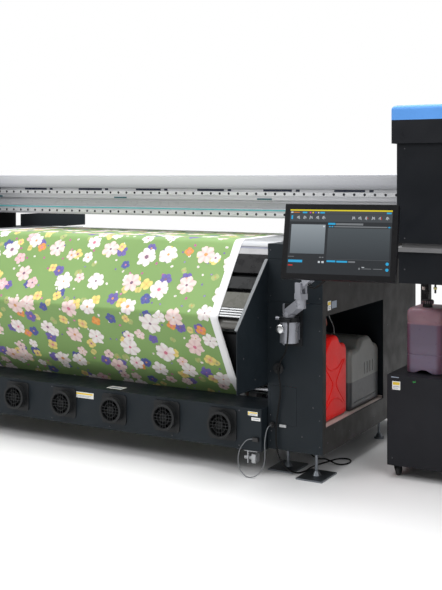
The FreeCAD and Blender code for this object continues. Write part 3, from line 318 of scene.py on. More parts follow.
def flower_layer(g, base, spot, cell, size, colors, share, petals, shift, heart):
    """Scatters flowers over a base colour: one cell of a Voronoi grid holds one flower."""
    moved = g.vector("ADD", spot, (shift, shift * 0.63, 0))
    cells = g.node("ShaderNodeTexVoronoi", {"Vector": moved, "Scale": 1 / cell, "Randomness": 0.62},
                   voronoi_dimensions="2D")
    away = g.vector("SUBTRACT", moved, cells.outputs["Position"])
    luck = g.node("ShaderNodeSeparateColor", {0: cells.outputs["Color"]}).outputs
    angle = g.math("ARCTAN2", g.axis("Y", away), g.axis("X", away))
    turned = g.math("ADD", angle, g.times(luck[0], 6.28))
    lobe = g.math("ABSOLUTE", g.math("COSINE", g.times(turned, petals / 2)))
    reach = g.math("ADD", 0.66, g.times(g.math("POWER", lobe, 0.55), 0.34))
    wobble = g.spread(g.noise(cell * 0.16, 2, moved), 0.86, 1.10)
    grown = g.times(reach, wobble, g.spread(luck[1], size * 0.75, size * 1.1, 0, 1))
    far = g.math("DIVIDE", g.measure("LENGTH", away), grown)
    inside = g.times(g.below(far, 1.0), g.below(luck[2], share))
    tint = g.ramp(luck[1], [(k / len(colors), c) for k, c in enumerate(colors)], "CONSTANT")
    shaded = g.mix(g.times(g.invert(lobe), 0.35), tint, (0.62, 0.30, 0.36, 1), "MULTIPLY")
    core = g.below(far, g.spread(luck[0], 0.08, 0.24, 0, 1))
    blush = g.spread(far, 0.75, 0.0, 0.0, 0.62)
    flushed = g.mix(blush, shaded, g.ramp(luck[0], [(0, heart[0]), (0.5, heart[1])], "CONSTANT"))
    centre = g.ramp(luck[2], [(0, (0.62, 0.30, 0.08)), (share * 0.45, (0.60, 0.16, 0.24)),
                              (share * 0.75, (0.20, 0.10, 0.16))], "CONSTANT")
    return g.mix(inside, base, g.mix(core, flushed, centre))


def print_finish(name, right_edge, blank_from=None):
    """Printed polyester: green ground with scattered flowers, a white edge, and a fine weave."""
    g = Graph(name, (0.2, 0.37, 0.09), 0.62)
    spot = g.node("ShaderNodeUVMap", uv_map="print").outputs[0]
    across, along = g.axis("X", spot), g.axis("Y", spot)
    ground = g.ramp(g.noise(0.5, 2, spot), [(0.3, (0.175, 0.305, 0.085)), (0.7, (0.20, 0.34, 0.10))])
    white, pink, rose = (0.80, 0.77, 0.74), (0.78, 0.62, 0.58), (0.72, 0.48, 0.50)
    yellow, orange, violet = (0.74, 0.62, 0.18), (0.72, 0.28, 0.05), (0.13, 0.10, 0.36)
    blue, magenta, leaf = (0.06, 0.08, 0.30), (0.50, 0.07, 0.28), (0.36, 0.44, 0.15)
    soft = ((0.80, 0.76, 0.73), (0.76, 0.52, 0.54))
    warm = ((0.74, 0.45, 0.12), (0.60, 0.22, 0.34))
    layers = [
        (0.110, 0.024, (leaf, (0.62, 0.56, 0.18), leaf), 0.40, 2.0, 0.31, (leaf, leaf)),
        (0.065, 0.0085, (violet, white, magenta, white), 0.55, 2.0, 1.70, (white, violet)),
        (0.145, 0.036, (blue, violet, blue, violet), 0.55, 5.0, 2.30, (violet, blue)),
        (0.150, 0.034, (yellow, orange, yellow, yellow), 0.62, 4.0, 4.10, warm),
        (0.160, 0.038, (white, pink, white, rose), 0.55, 5.0, 5.77, soft),
        (0.192, 0.060, (white, white, pink, white, white), 0.97, 6.0, 7.90, soft),
    ]
    color = ground
    for layer in layers:
        color = flower_layer(g, color, spot, *layer)
    edge = 47 * MM
    bare = g.math("MAXIMUM", g.above(across, right_edge - edge), g.below(across, edge))
    if blank_from is not None:
        bare = g.math("MAXIMUM", bare, g.below(along, blank_from))
    g.paint(g.mix(bare, color, (0.87, 0.87, 0.88, 1)))
    threads = 9000.0
    warp, weft = (g.math("SINE", g.times(way, threads)) for way in (across, along))
    g.bump(g.times(warp, weft), 0.1 * MM, 0.4)
    g.set("Sheen Weight", 0.15)
    return g


def plain_cloth_finish():
    g = Graph("plain_cloth", (0.86, 0.86, 0.87), 0.7)
    g.paint(g.vary((0.85, 0.85, 0.86), 0.03, 0.3))
    g.bump(g.noise(2.2 * MM, 2, g.vector("MULTIPLY", g.place, (1.0, 0.15, 0.15))), 0.3 * MM, 0.4)
    g.set("Sheen Weight", 0.15)
    return g


def can_finish(name, color, roughness, coat, level=None, wet=None, subsurface=0.0):
    """Blow-moulded polyethylene. With a level, what is below it shows the liquid behind the wall."""
    g = Graph(name, color, roughness, coat=coat)
    tone = g.vary(color, 0.07, 0.16)
    if level is not None:
        edge = g.spread(g.axis("Z"), 1.0, 0.0, level - 2 * MM, level + 2 * MM)
        tone = g.mix(edge, tone, (*wet, 1))
    g.paint(tone)
    g.set("Roughness", g.spread(g.noise(0.02, 4), roughness - 0.04, roughness + 0.07))
    g.set("Subsurface Weight", subsurface)
    g.set("Subsurface Scale", 0.02)
    g.set("Specular IOR Level", 0.15)
    g.bump(g.noise(9 * MM, 3), 0.8 * MM, 0.15)
    return g


def bottle_finish(name, empty, full, deep, level):
    """Milky polyethylene with ink behind it: clear above the level, with painted shade that darkens the ink
    at the rounded corners.
    """
    g = Graph(name, full, 0.36)
    g.set("Specular IOR Level", 0.25)
    up = g.spread(g.axis("Z"), 0, 1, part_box("magenta_bottle")[0].z, level)
    shades = ((0.0, 1.9), (0.24, 1.4), (0.6, 1.0), (1.0, 0.9))
    middle = g.ramp(up, [(height, tuple(c * shade for c in full)) for height, shade in shades])
    normal = g.node("ShaderNodeNewGeometry").outputs["Normal"]
    # painted shade: the ink is mixed towards its darker colour where the wall turns at the corners
    bend = g.times(*(g.math("ABSOLUTE", g.axis(letter, normal)) for letter in "XY"))
    wet = g.mix(g.spread(bend, 0.0, 0.85, 0.02, 0.5), middle, (*deep, 1))
    edge = g.spread(g.axis("Z"), 1.0, 0.0, level - 3 * MM, level + 3 * MM)
    g.paint(g.mix(edge, g.vary(empty, 0.08, 0.08), wet))
    g.set("Roughness", g.spread(g.noise(0.02, 4), 0.26, 0.38))
    g.set("Subsurface Weight", 0.25)
    g.set("Subsurface Scale", 0.02)
    g.bump(g.noise(6 * MM, 3), 0.5 * MM, 0.25)
    return g


def glow(name, color, strength=0.55, top=None):
    """A lit area of the display, behind glossy glass."""
    g = Graph(name, (0.004, 0.004, 0.005), 0.16, coat=0.2)
    g.set("Emission Strength", strength)
    tone = (*color, 1)
    if top is not None:
        pane = g.node("ShaderNodeUVMap", uv_map="pane").outputs[0]
        tone = g.ramp(g.axis("Y", pane), [(0.0, color), (1.0, top)])
    g.set("Emission Color", tone)
    return g


# Each finish, with the CAD nodes that wear it.
LOOKS = {
    "frame": (powder("frame_black", FRAME_BLACK, 0.5), "base_frame bearing_arms dryer_frame"),
    "panel": (powder("panel_blue_black", BLUE_BLACK, 0.45),
              "blower_box cabinet_front_covers cabinet_shell left_cabinet"),
    "side": (powder("panel_side_grey", (0.025, 0.0235, 0.0225), 0.5), "cabinet_side_panels"),
    "shell": (powder("shell_black", (0.0075, 0.009, 0.012), 0.42),
              "head_station_shell left_station_shell carriage_shell"),
    "cart": (powder("cart_black", (0.0115, 0.012, 0.0155), 0.5), "ink_cart"),
    "foot": (brushed("foot_steel", (0.22, 0.24, 0.265), "Z", 0.4), "levelling_feet"),
    "beam": (brushed("beam_aluminium", (0.74, 0.75, 0.78), "X", 0.34, 0.7), "gantry_beam"),
    "bed": (brushed("bed_aluminium", (0.36, 0.37, 0.385), "X", 0.45, 0.5), "print_bed"),
    "rod": (brushed("roller_steel", (0.76, 0.78, 0.82), "X", 0.18, 1.0), "dancer_roller rear_roller"),
    "arm": (powder("arm_silver", ARM_SILVER, 0.34, 1.0 * MM, 0.05),
            "arm_lower_link arm_elbow_block arm_upper_link screen_yoke screen_tilt_head"),
    "cap": (moulded("cap_grey", (0.10, 0.10, 0.11), 0.5), "capping_tray"),
    "head": (brushed("head_metal", (0.42, 0.43, 0.45), "Y", 0.35, 0.8), "print_heads"),
    "black": (moulded("moulded_black", (0.012, 0.012, 0.013), 0.45), "caster_fork_1 caster_fork_2"),
    "fan": (moulded("fan_black", (0.016, 0.017, 0.018), 0.4),
            "fan_housings fan_rotor_1 fan_rotor_2 fan_rotor_3 fan_rotor_4 fan_rotor_5"),
    "tyre": (moulded("tyre_black", (0.018, 0.018, 0.019), 0.62),
             "caster_wheel_1 caster_wheel_2 cart_rear_wheels"),
    "button": (moulded("button_red", (0.55, 0.01, 0.01), 0.25, 0.6), "stop_button"),
    "bezel": (moulded("bezel_black", (0.005, 0.005, 0.006), 0.4), "screen_case"),
    "tray": (powder("tray_grey", (0.17, 0.17, 0.175), 0.38, vary=0.06), "head_station_tray"),
    "liner": (moulded("tray_liner", (0.52, 0.44, 0.41), 0.6), "drip_tray"),
    "lid": (lid_finish(), "head_station_lid left_station_lid"),
    "rail": (rail_finish(), "linear_rails"),
    "cover": (cover_finish(), "beam_cover"),
    "insert": (insert_finish(), "beam_inserts"),
    "dryer": (dryer_finish(), "dryer_panels"),
    "mount": (mount_finish(), "arm_mount"),
    "fittings": (fittings_finish(), "cable_fittings"),
    "plates": (plates_finish(), "side_plates"),
    "rib": (rib_finish(), "nose_ribs"),
    "chrome": (brushed("chrome_screw", (0.7, 0.71, 0.72), "Z", 0.2, 1.0), ""),
    "chrome_dark": (brushed("screw_dark", (0.10, 0.10, 0.11), "Z", 0.35, 0.8), ""),
    "lead_black": (moulded("lead_black", (0.004, 0.004, 0.004), 0.5), ""),
    "lead_grey": (moulded("lead_grey", (0.16, 0.17, 0.18), 0.45), ""),
    "plain_cloth": (plain_cloth_finish(), ""),
    "cap_waste_can_red": (moulded("cap_black", (0.015, 0.015, 0.016), 0.4), ""),
    "cap_waste_can_grey": (moulded("cap_blue", (0.02, 0.07, 0.25), 0.35), ""),
}
finish = {key: graph for key, (graph, _) in LOOKS.items()}
finish["arm"].set("Metallic", 0.35)
for label in ("bezel", "black", "fan", "lead_black"):
    finish[label].set("Specular IOR Level", 0.22)


def finish_nodes():
    for graph, names in LOOKS.values():
        for name in names.split():
            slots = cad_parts[name].data.materials
            slots.clear()
            slots.append(graph.material)


# ---- mesh helpers


def place(name, data):
    """A new object in the scene."""
    made = bpy.data.objects.new(name, data)
    bpy.context.scene.collection.objects.link(made)
    return made


def add_object(name, mesh, body, graphs, smooth=True):
    """Puts a mesh in the scene, riding on a body."""
    made = place(name, mesh)
    for graph in graphs:
        mesh.materials.append(graph.material)
    if smooth:
        mesh.shade_smooth()
    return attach(made, body)


def mesh_of(build, name, outward=True):
    """A mesh filled by build(bm). Unless outward is off, its faces are turned to look outwards."""
    bm = bmesh.new()
    build(bm)
    if outward:
        bmesh.ops.recalc_face_normals(bm, faces=bm.faces)
    mesh = bpy.data.meshes.new(name)
    bm.to_mesh(mesh)
    bm.free()
    return mesh


def add_block(bm, low, high, round_by, turn=None, slot=0):
    """A box with rounded edges."""
    made = bmesh.ops.create_cube(bm, size=1)["verts"]
    middle, size = (Vector(low) + Vector(high)) / 2, Vector(high) - Vector(low)
    matrix = (turn or Matrix()) @ Matrix.Translation(middle) @ Matrix.Diagonal((*size, 1))
    bmesh.ops.transform(bm, matrix=matrix, verts=made)
    edges = list({e for v in made for e in v.link_edges})
    faces = {f for v in made for f in v.link_faces}
    rounded = bmesh.ops.bevel(bm, geom=edges, offset=round_by, segments=3, affect="EDGES", profile=0.5)
    for face in set(rounded["faces"]) | {f for f in faces if f.is_valid}:
        face.material_index = slot


def ring_points(wide, deep, corner, count):
    """A rounded rectangle about the origin."""
    corner = min(corner, wide / 2 - 1e-4, deep / 2 - 1e-4)
    points = []
    for k, (sx, sy) in enumerate(((1, -1), (1, 1), (-1, 1), (-1, -1))):
        centre = Vector((sx * (wide / 2 - corner), sy * (deep / 2 - corner)))
        for step in range(count):
            a = radians(-90 + 90 * k + 90 * step / (count - 1))
            points.append(centre + Vector((cos(a), sin(a))) * corner)
    return points


def join_rings(bm, one, two, slot=0):
    """Faces between two closed rings of points."""
    faces = [bm.faces.new((one[k - 1], one[k], two[k], two[k - 1])) for k in range(len(one))]
    for face in faces:
        face.material_index = slot


def add_lathe(bm, centre, profile, axis="Z", segments=40, slot=0):
    """A turned shape: profile is (distance along the axis, radius) in millimetres."""
    turn = {"Z": Matrix(), "X": Matrix.Rotation(radians(90), 4, "Y"),
            "Y": Matrix.Rotation(radians(-90), 4, "X")}[axis]
    rows = []
    for height, radius in profile:
        angles = (2 * pi * k / segments for k in range(segments))
        spots = (Vector((radius * cos(a), radius * sin(a), height)) * MM for a in angles)
        rows.append([bm.verts.new(Vector(centre) + turn @ spot) for spot in spots])
    for one, two in zip(rows, rows[1:]):
        join_rings(bm, one, two, slot)
    for row in (rows[0], rows[-1]):
        bm.faces.new(row).material_index = slot


def tube_curve(name, routes, radius, roundness, steps):
    """Smooth tubes along routes, as a curve."""
    curve = bpy.data.curves.new(name, "CURVE")
    curve.dimensions = "3D"
    curve.bevel_depth = radius
    curve.bevel_resolution = roundness
    curve.use_fill_caps = True
    for route in routes:
        spline = curve.splines.new("NURBS")
        spline.points.add(len(route) - 1)
        for point, spot in zip(spline.points, route):
            point.co = (*spot, 1)
        spline.order_u = 3
        spline.use_endpoint_u = True
        spline.resolution_u = steps
    return curve


def curve_mesh(curve):
    holder = place(curve.name, curve)
    bpy.context.view_layer.update()
    mesh = bpy.data.meshes.new_from_object(holder.evaluated_get(bpy.context.evaluated_depsgraph_get()))
    bpy.data.objects.remove(holder)
    return mesh


def pipe_mesh(routes, radius):
    return curve_mesh(tube_curve("pipe", routes, radius, 4, 8))


def middle_of(node):
    low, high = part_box(node)
    return (low + high) / 2


# ---- cloth


def circle_tangent(one, r1, two, r2, side):
    """Where a straight stretch leaves the first roll and meets the second, as (y, z)."""
    far = (two - one).length
    d = (two - one) / far
    n = Vector((-d.y, d.x)) * side
    lean = (r1 - r2) / far
    out = n * sqrt(1 - lean * lean) + d * lean
    return one + out * r1, two + out * r2


def roll_circle(node):
    """Centre (y, z) and radius of a roll."""
    low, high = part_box(node)
    return Vector(((low.y + high.y) / 2, (low.z + high.z) / 2)), (high.z - low.z) / 2


def cloth_path():
    """The cloth's middle line from the supply roll to the take-up roll, as (y, z)."""
    gap = 1.0 * MM
    bed_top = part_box("print_bed")[1].z
    supply, supply_radius = roll_circle("supply_roll")
    rear, rear_radius = roll_circle("rear_roller")
    wound, wound_radius = roll_circle("takeup_roll")
    leave, meet = circle_tangent(supply, supply_radius + gap, rear, rear_radius + gap, -1)
    slope = (meet.y - leave.y) / (meet.x - leave.x)
    top = bed_top + gap
    crest = Vector((meet.x + (top - meet.y) / slope, top))
    front = Vector((SLOPE_START.y, top))
    nose = Vector((SLOPE_END.y - gap, SLOPE_END.z))
    tuck, drop = Vector((-0.560, 0.450)), Vector((-0.450, 0.337))
    way = wound - drop
    swing = atan2(way.y, way.x) - asin((wound_radius + gap) / way.length)
    reach = sqrt(way.length_squared - (wound_radius + gap) ** 2)
    end = drop + Vector((cos(swing), sin(swing))) * reach
    corners = [(leave, 0), (crest, rear_radius + gap), (front, 0.061), (nose, 0.0226), (tuck, 0.12),
               (drop, 0.06), (end, 0)]
    points = [leave]
    for (a, _), (b, radius), (c, _) in zip(corners, corners[1:], corners[2:]):
        back, ahead = (a - b).normalized(), (c - b).normalized()
        half = back.angle(ahead) / 2
        centre = b + (back + ahead).normalized() * radius / sin(half)
        one, two = b + back * radius / tan(half), b + ahead * radius / tan(half)
        first, turn = one - centre, (one - centre).angle(two - centre)
        side = 1 if (one - centre).to_3d().cross((two - centre).to_3d()).z > 0 else -1
        for step in range(9):
            points.append(centre + Matrix.Rotation(side * turn * step / 8, 2) @ first)
    points.append(end)
    return points


def even_steps(points, step):
    """The same line with points no further apart than step."""
    out = [points[0]]
    for a, b in zip(points, points[1:]):
        count = max(1, ceil((b - a).length / step))
        out += [a.lerp(b, k / count) for k in range(1, count + 1)]
    return out


def printed_cloth():
    """The stretched cloth from roll to roll, with faint ripples; its print follows the cloth's own length."""
    low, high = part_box("cloth_web")
    line = even_steps(cloth_path(), 0.03)
    lengths = [0.0]
    for a, b in zip(line, line[1:]):
        lengths.append(lengths[-1] + (b - a).length)
    columns, width = 90, high.x - low.x
    ripple, printed_from = 0.25 * MM, 1.10

    def build(bm):
        layer = bm.loops.layers.uv.new("print")
        grid, marks = [], {}
        for k, spot in enumerate(line):
            way = (line[min(len(line) - 1, k + 1)] - line[max(0, k - 1)]).normalized()
            out = Vector((0, way.y, -way.x))
            row = []
            for c in range(columns + 1):
                u = c / columns
                pull = ripple * sin(u * 41 + lengths[k] * 7) * sin(lengths[k] * 19)
                row.append(bm.verts.new(Vector((low.x + u * width, spot.x, spot.y)) + out * pull))
                marks[row[-1]] = (u * width, lengths[k])
            grid.append(row)
        for one, two in zip(grid, grid[1:]):
            for c in range(columns):
                for loop in bm.faces.new((one[c], one[c + 1], two[c + 1], two[c])).loops:
                    loop[layer].uv = marks[loop.vert]

    name, looks = "printed_cloth", [print_finish("print_on_web", width, printed_from)]
    cloth = add_object(name, mesh_of(build, name), "machine", looks)
    thick = cloth.modifiers.new("thickness", "SOLIDIFY")
    thick.thickness = 0.5 * MM
    thick.offset = 0
    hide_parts("cloth_web")


def wound_roll(name, node, body, graph):
    """Cloth wound on its core: slightly uneven layers, ringed ends, and the core's tube and journals."""
    low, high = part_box(node)
    centre, radius = roll_circle(node)
    cloth_low, cloth_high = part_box("cloth_web")
    left, right = cloth_low.x, cloth_high.x
    columns, rows, turns = 96, 60, 14
    end_slot, core_slot = 1, 2
    angles = [2 * pi * k / columns for k in range(columns)]

    def build(bm):
        layer = bm.loops.layers.uv.new("print")

        def ring_at(x, reach):
            return [bm.verts.new((x, centre.x + reach(a) * cos(a), centre.y + reach(a) * sin(a)))
                    for a in angles]

        rings = []
        for c in range(rows + 1):
            x = left + (right - left) * c / rows
            inset = 4 * MM if c in (0, rows) else 0
            rings.append(ring_at(x, lambda a: radius - 0.7 * MM - inset
                                 + 0.6 * MM * sin(x * 23 + a) * sin(x * 9)))
        for c, (one, two) in enumerate(zip(rings, rings[1:])):
            for k in range(columns):
                after = (k + 1) % columns
                face = bm.faces.new((one[k], one[after], two[after], two[k]))
                for loop, (row, column) in zip(face.loops, ((c, k), (c, k + 1), (c + 1, k + 1), (c + 1, k))):
                    loop[layer].uv = ((right - left) * row / rows, 2 * pi * radius * column / columns)
        for last, x, way in ((rings[0], left, 1), (rings[-1], right, -1)):
            for t in range(turns):
                dent = (1.5 * MM if t % 2 else 0) * way
                ring = ring_at(x + dent, lambda a: radius - 5 * MM - (radius - 43 * MM) * (t + 1) / turns)
                join_rings(bm, last, ring, end_slot)
                last = ring
            bm.faces.new(last).material_index = end_slot
        tube = (left - low.x) / MM
        add_lathe(bm, (low.x, centre.x, centre.y),
                  [(0, 10), (2, 11.5), (tube - 30, 11.5), (tube - 30, 36), (tube - 28, 37.5), (tube, 37.5),
                   (tube + 5, 37.5)], "X", 40, core_slot)
        tube = (high.x - right) / MM
        add_lathe(bm, (right - 5 * MM, centre.x, centre.y),
                  [(0, 37.5), (33, 37.5), (35, 36), (35, 11.5), (tube + 3, 11.5), (tube + 5, 10)],
                  "X", 40, core_slot)

    roll = add_object(name, mesh_of(build, name), body, [graph, finish["plain_cloth"], finish["rod"]])
    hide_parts(node)


# ---- cans and bottles


def smooth_corners(points, radius, steps=6):
    """A closed outline with its corners rounded."""
    out = []
    for k, b in enumerate(points):
        a, c = points[k - 1], points[(k + 1) % len(points)]
        back, ahead = (a - b), (c - b)
        r = min(radius, back.length * 0.45, ahead.length * 0.45)
        one, two = b + back.normalized() * r, b + ahead.normalized() * r
        for step in range(steps + 1):
            t = step / steps
            out.append((1 - t) ** 2 * one + 2 * t * (1 - t) * b + t * t * two)
    return out


def outline_solid(outline, half, round_by, centre_x):
    """A solid between two x planes from a (y, z) outline, with rounded rims."""
    curve = bpy.data.curves.new("outline", "CURVE")
    curve.dimensions = "2D"
    curve.fill_mode = "BOTH"
    curve.extrude = half - round_by
    curve.bevel_depth = round_by
    curve.bevel_resolution = 6
    curve.offset = -round_by
    spline = curve.splines.new("POLY")
    spline.points.add(len(outline) - 1)
    for point, (y, z) in zip(spline.points, outline):
        point.co = (y, z, 0, 1)
    spline.use_cyclic_u = True
    mesh = curve_mesh(curve)
    mesh.transform(Matrix(((0, 0, 1, centre_x), (1, 0, 0, 0), (0, 1, 0, 0), (0, 0, 0, 1))))
    return mesh


RED_CROWN = [(1.0, -20), (0.95, 12), (0.76, 16), (0.66, 66), (0.34, 66), (0.02, -30)]
GREY_CROWN = [(1.0, -24), (0.95, 6), (0.84, 14), (0.68, 62), (0.60, 66), (0.38, 66), (0.28, 16), (0.03, 12),
              (0.0, -22)]
CAP_SLOT = 1


def add_cap(bm, base, profile, teeth, low, high, segments):
    """A screw cap with teeth around it; low and high are the first tooth's corners in millimetres."""
    add_lathe(bm, base, profile, "Z", segments, CAP_SLOT)
    for k in range(teeth):
        turn = Matrix.Translation(base) @ Matrix.Rotation(2 * pi * k / teeth, 4, "Z")
        add_block(bm, Vector(low) * MM, Vector(high) * MM, 0.5 * MM, turn, CAP_SLOT)


def jerry_can(name, node, body, graph, ribs, crown, mouth_y):
    """A blow-moulded can: crown holds its top outline as (share of the depth, height over the shoulder)."""
    low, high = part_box(node)
    middle, half, deep = (low + high) / 2, (high.x - low.x) / 2, high.y - low.y
    grip_top, shoulder = high.z - 24 * MM, high.z - 90 * MM
    top = [Vector((low.y + share * deep, shoulder + rise * MM)) for share, rise in crown]
    outer = smooth_corners([Vector((low.y, low.z)), Vector((high.y, low.z)), *top], 30 * MM)
    peak = [spot.x for spot in top if spot.y > grip_top - 1 * MM]
    grip_low, grip_high = min(peak) + 30 * MM, max(peak) - 20 * MM
    groove = [(grip_low - 20 * MM, -20 * MM), (grip_low + 30 * MM, -5 * MM), (grip_high - 20 * MM, -5 * MM),
              (grip_high + 20 * MM, -30 * MM)]
    grooves = [[(middle.x + side * (half - 46 * MM), y, grip_top + rise) for y, rise in groove]
               for side in (-1, 1)]
    mouth = Vector((middle.x, mouth_y, shoulder + 12 * MM))
    cap = [(20, 33), (23, 34.5), (40, 34), (44, 31), (44, 10), (50, 9)]

    def build(bm):
        bm.from_mesh(outline_solid(outer, half - 1 * MM, 22 * MM, middle.x))
        bm.from_mesh(pipe_mesh(grooves, 9 * MM))
        bm.from_mesh(pipe_mesh(ribs(low, high, half), 5 * MM))
        add_lathe(bm, mouth, [(0, 30), (10, 29), (24, 28)])
        add_cap(bm, mouth, cap, 24, (33.5, -1.5, 23), (35.8, 1.5, 40), 40)
        add_block(bm, (low.x + 30 * MM, low.y + 0.14 * deep, low.z),
                  (high.x - 30 * MM, high.y - 0.14 * deep, low.z + 4 * MM), 1.8 * MM)

    made = add_object(name, mesh_of(build, name), body, [graph, finish["cap_" + name]])
    mark_edges(made)
    made.modifiers.new("even_shading", "WEIGHTED_NORMAL").keep_sharp = True
    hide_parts(node)


def mark_edges(obj):
    """Marks the edges that turn by more than 35 degrees as crisp."""
    bm = bmesh.new()
    bm.from_mesh(obj.data)
    for edge in bm.edges:
        if len(edge.link_faces) == 2 and edge.calc_face_angle(0) > radians(35):
            edge.smooth = False
    bm.to_mesh(obj.data)
    bm.free()


def cross_ribs(low, high, half):
    """The pressed X and its frame on both broad sides of the fuel-style can."""
    y0, y1, z0, z1 = low.y + 40 * MM, high.y - 40 * MM, low.z + 70 * MM, high.z - 160 * MM
    mid_y, mid_z, near, far, bow = (y0 + y1) / 2, (z0 + z1) / 2, 18 * MM, 26 * MM, 34 * MM
    routes = []
    for side in (-1, 1):
        x = (low.x + high.x) / 2 + side * (half - 3.2 * MM)
        for way, y in ((-1, y0), (1, y1)):
            bend = mid_y + way * near
            routes.append([(x, y, z0), (x, bend, mid_z - 12 * MM), (x, mid_y + way * far, mid_z),
                           (x, bend, mid_z + 12 * MM), (x, y, z1)])
        for way, z in ((1, z1), (-1, z0)):
            routes.append([(x, y0 + 22 * MM, z), (x, mid_y, mid_z + way * bow), (x, y1 - 22 * MM, z)])
        routes.append([(x - side * 1.5 * MM, y, z0 - 40 * MM) for y in (y0 - 8 * MM, mid_y, y1 + 8 * MM)])
    return routes


def bar_ribs(low, high, half):
    """Four short upright bars and a long low one pressed into both broad sides of the grey can."""
    middle, routes = (low + high) / 2, []
    for side in (-1, 1):
        x = middle.x + side * (half - 3.4 * MM)
        for k in range(4):
            routes.append([(x, low.y + (200 + 40 * k) * MM, low.z + rise * MM) for rise in (170, 200, 232)])
        routes.append([(x, y, low.z + 40 * MM) for y in (low.y + 60 * MM, middle.y, high.y - 60 * MM)])
    return routes


BOTTLE_LEVELS = [
    (0.0, 9, 30), (0.008, 3, 30), (0.025, 0, 30), (0.10, 0, 30), (0.20, 0, 30), (0.27, 0, 30),
    (0.283, 2.4, 30), (0.296, 0, 30), (0.40, 0, 30), (0.52, 0, 30), (0.64, 0, 30), (0.76, 0, 30),
    (0.78, 2.0, 30), (0.80, 0, 30), (0.90, 0, 30), (0.945, 1.5, 32), (0.968, 5, 34), (0.985, 11, 36),
    (0.994, 18, 36), (0.999, 30, 34), (1.0, 52, 26),
]
BOTTLE_PITCH = 245 * MM
NECK_BACK = 70 * MM


def add_bottle(bm, centre_x, low, high, body_top):
    """A square-shouldered container with an arched foot, a moulded waist line, neck and cap.

    BOTTLE_LEVELS holds (share of the height, inset, corner radius), the last two in millimetres.
    """
    wide, deep, middle_y = 184 * MM, high.y - low.y, (low.y + high.y) / 2
    arch_radius, arch_drop = 56 * MM, 38 * MM
    count, step_long = 9, 12 * MM
    plain = ring_points(wide, deep, 30 * MM, count)
    marks = []
    for k, spot in enumerate(plain):
        flat = (k + 1) % count == 0
        parts = max(1, round((plain[(k + 1) % len(plain)] - spot).length / step_long)) if flat else 1
        marks += [(k, p / parts) for p in range(parts)]
    rows = []
    for share, inset, corner in BOTTLE_LEVELS:
        ring = ring_points(wide - 2 * inset * MM, deep - 2 * inset * MM, corner * MM, count)
        row = []
        for k, t in marks:
            spot = ring[k].lerp(ring[(k + 1) % len(ring)], t)
            rise = share * (body_top - low.z)
            z = low.z + rise
            if abs(spot.x) < arch_radius:
                roof = low.z - arch_drop + sqrt(arch_radius ** 2 - spot.x ** 2)
                if roof > low.z:
                    z = max(z, roof + rise * 0.25)
            row.append(bm.verts.new((centre_x + spot.x, middle_y + spot.y, z)))
        rows.append(row)
    for one, two in zip(rows, rows[1:]):
        join_rings(bm, one, two)
    bm.faces.new(rows[-1])
    bmesh.ops.triangulate(bm, faces=[bm.faces.new(list(reversed(rows[0])))])
    neck = Vector((centre_x, low.y + NECK_BACK, body_top))
    cap = [(17, 30), (19, 31), (34, 30), (37, 27), (37, 10)]
    add_lathe(bm, neck, [(-6, 26), (14, 24), (20, 24)], "Z", 36, CAP_SLOT)
    add_cap(bm, neck, cap, 20, (29.5, -1.4, 18), (31.8, 1.4, 33), 36)


def bottles():
    low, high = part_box("magenta_bottle")
    body_top = low.z + 328 * MM
    full_level = low.z + 0.75 * (body_top - low.z)
    # each ink: name, empty plastic, full colour, and the darker colour painted as shade at the corners
    inks = (("magenta", (0.25, 0.145, 0.175), (0.145, 0.115, 0.165), (0.12, 0.05, 0.085)),
            ("yellow", (0.50, 0.44, 0.22), (0.42, 0.28, 0.03), (0.40, 0.20, 0.01)),
            ("cyan", (0.20, 0.34, 0.42), (0.03, 0.14, 0.26), (0.01, 0.06, 0.18)),
            ("black", (0.20, 0.20, 0.22), (0.03, 0.03, 0.04), (0.01, 0.01, 0.012)))
    made = []
    for k, (ink, empty, full, deep) in enumerate(inks):
        graph = bottle_finish("bottle_" + ink, empty, full, deep, full_level - 22 * MM * k)
        centre = (low.x + high.x) / 2 + BOTTLE_PITCH * k
        mesh = mesh_of(lambda bm: add_bottle(bm, centre, low, high, body_top), ink)
        name, body, slot = "ink_bottle_" + ink, "cart", "ink_other"
        if ink == "magenta":
            name, body, slot = "magenta_ink_bottle", "magenta", "ink_magenta"
        made.append(add_object(name, mesh, body, [graph, finish["black"]]))
        mark_edges(made[-1])
    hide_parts("magenta_bottle")
    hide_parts("ink_bottles")


# ---- touch screen


def screen_turn():
    """The screen's own frame: x to the right, y into the case, z up."""
    at = Vector((1.060, -0.980, 1.205))
    turn = Matrix.Rotation(radians(9), 4, "Z") @ Matrix.Rotation(radians(-13.5), 4, "X")
    return Matrix.Translation(at) @ turn


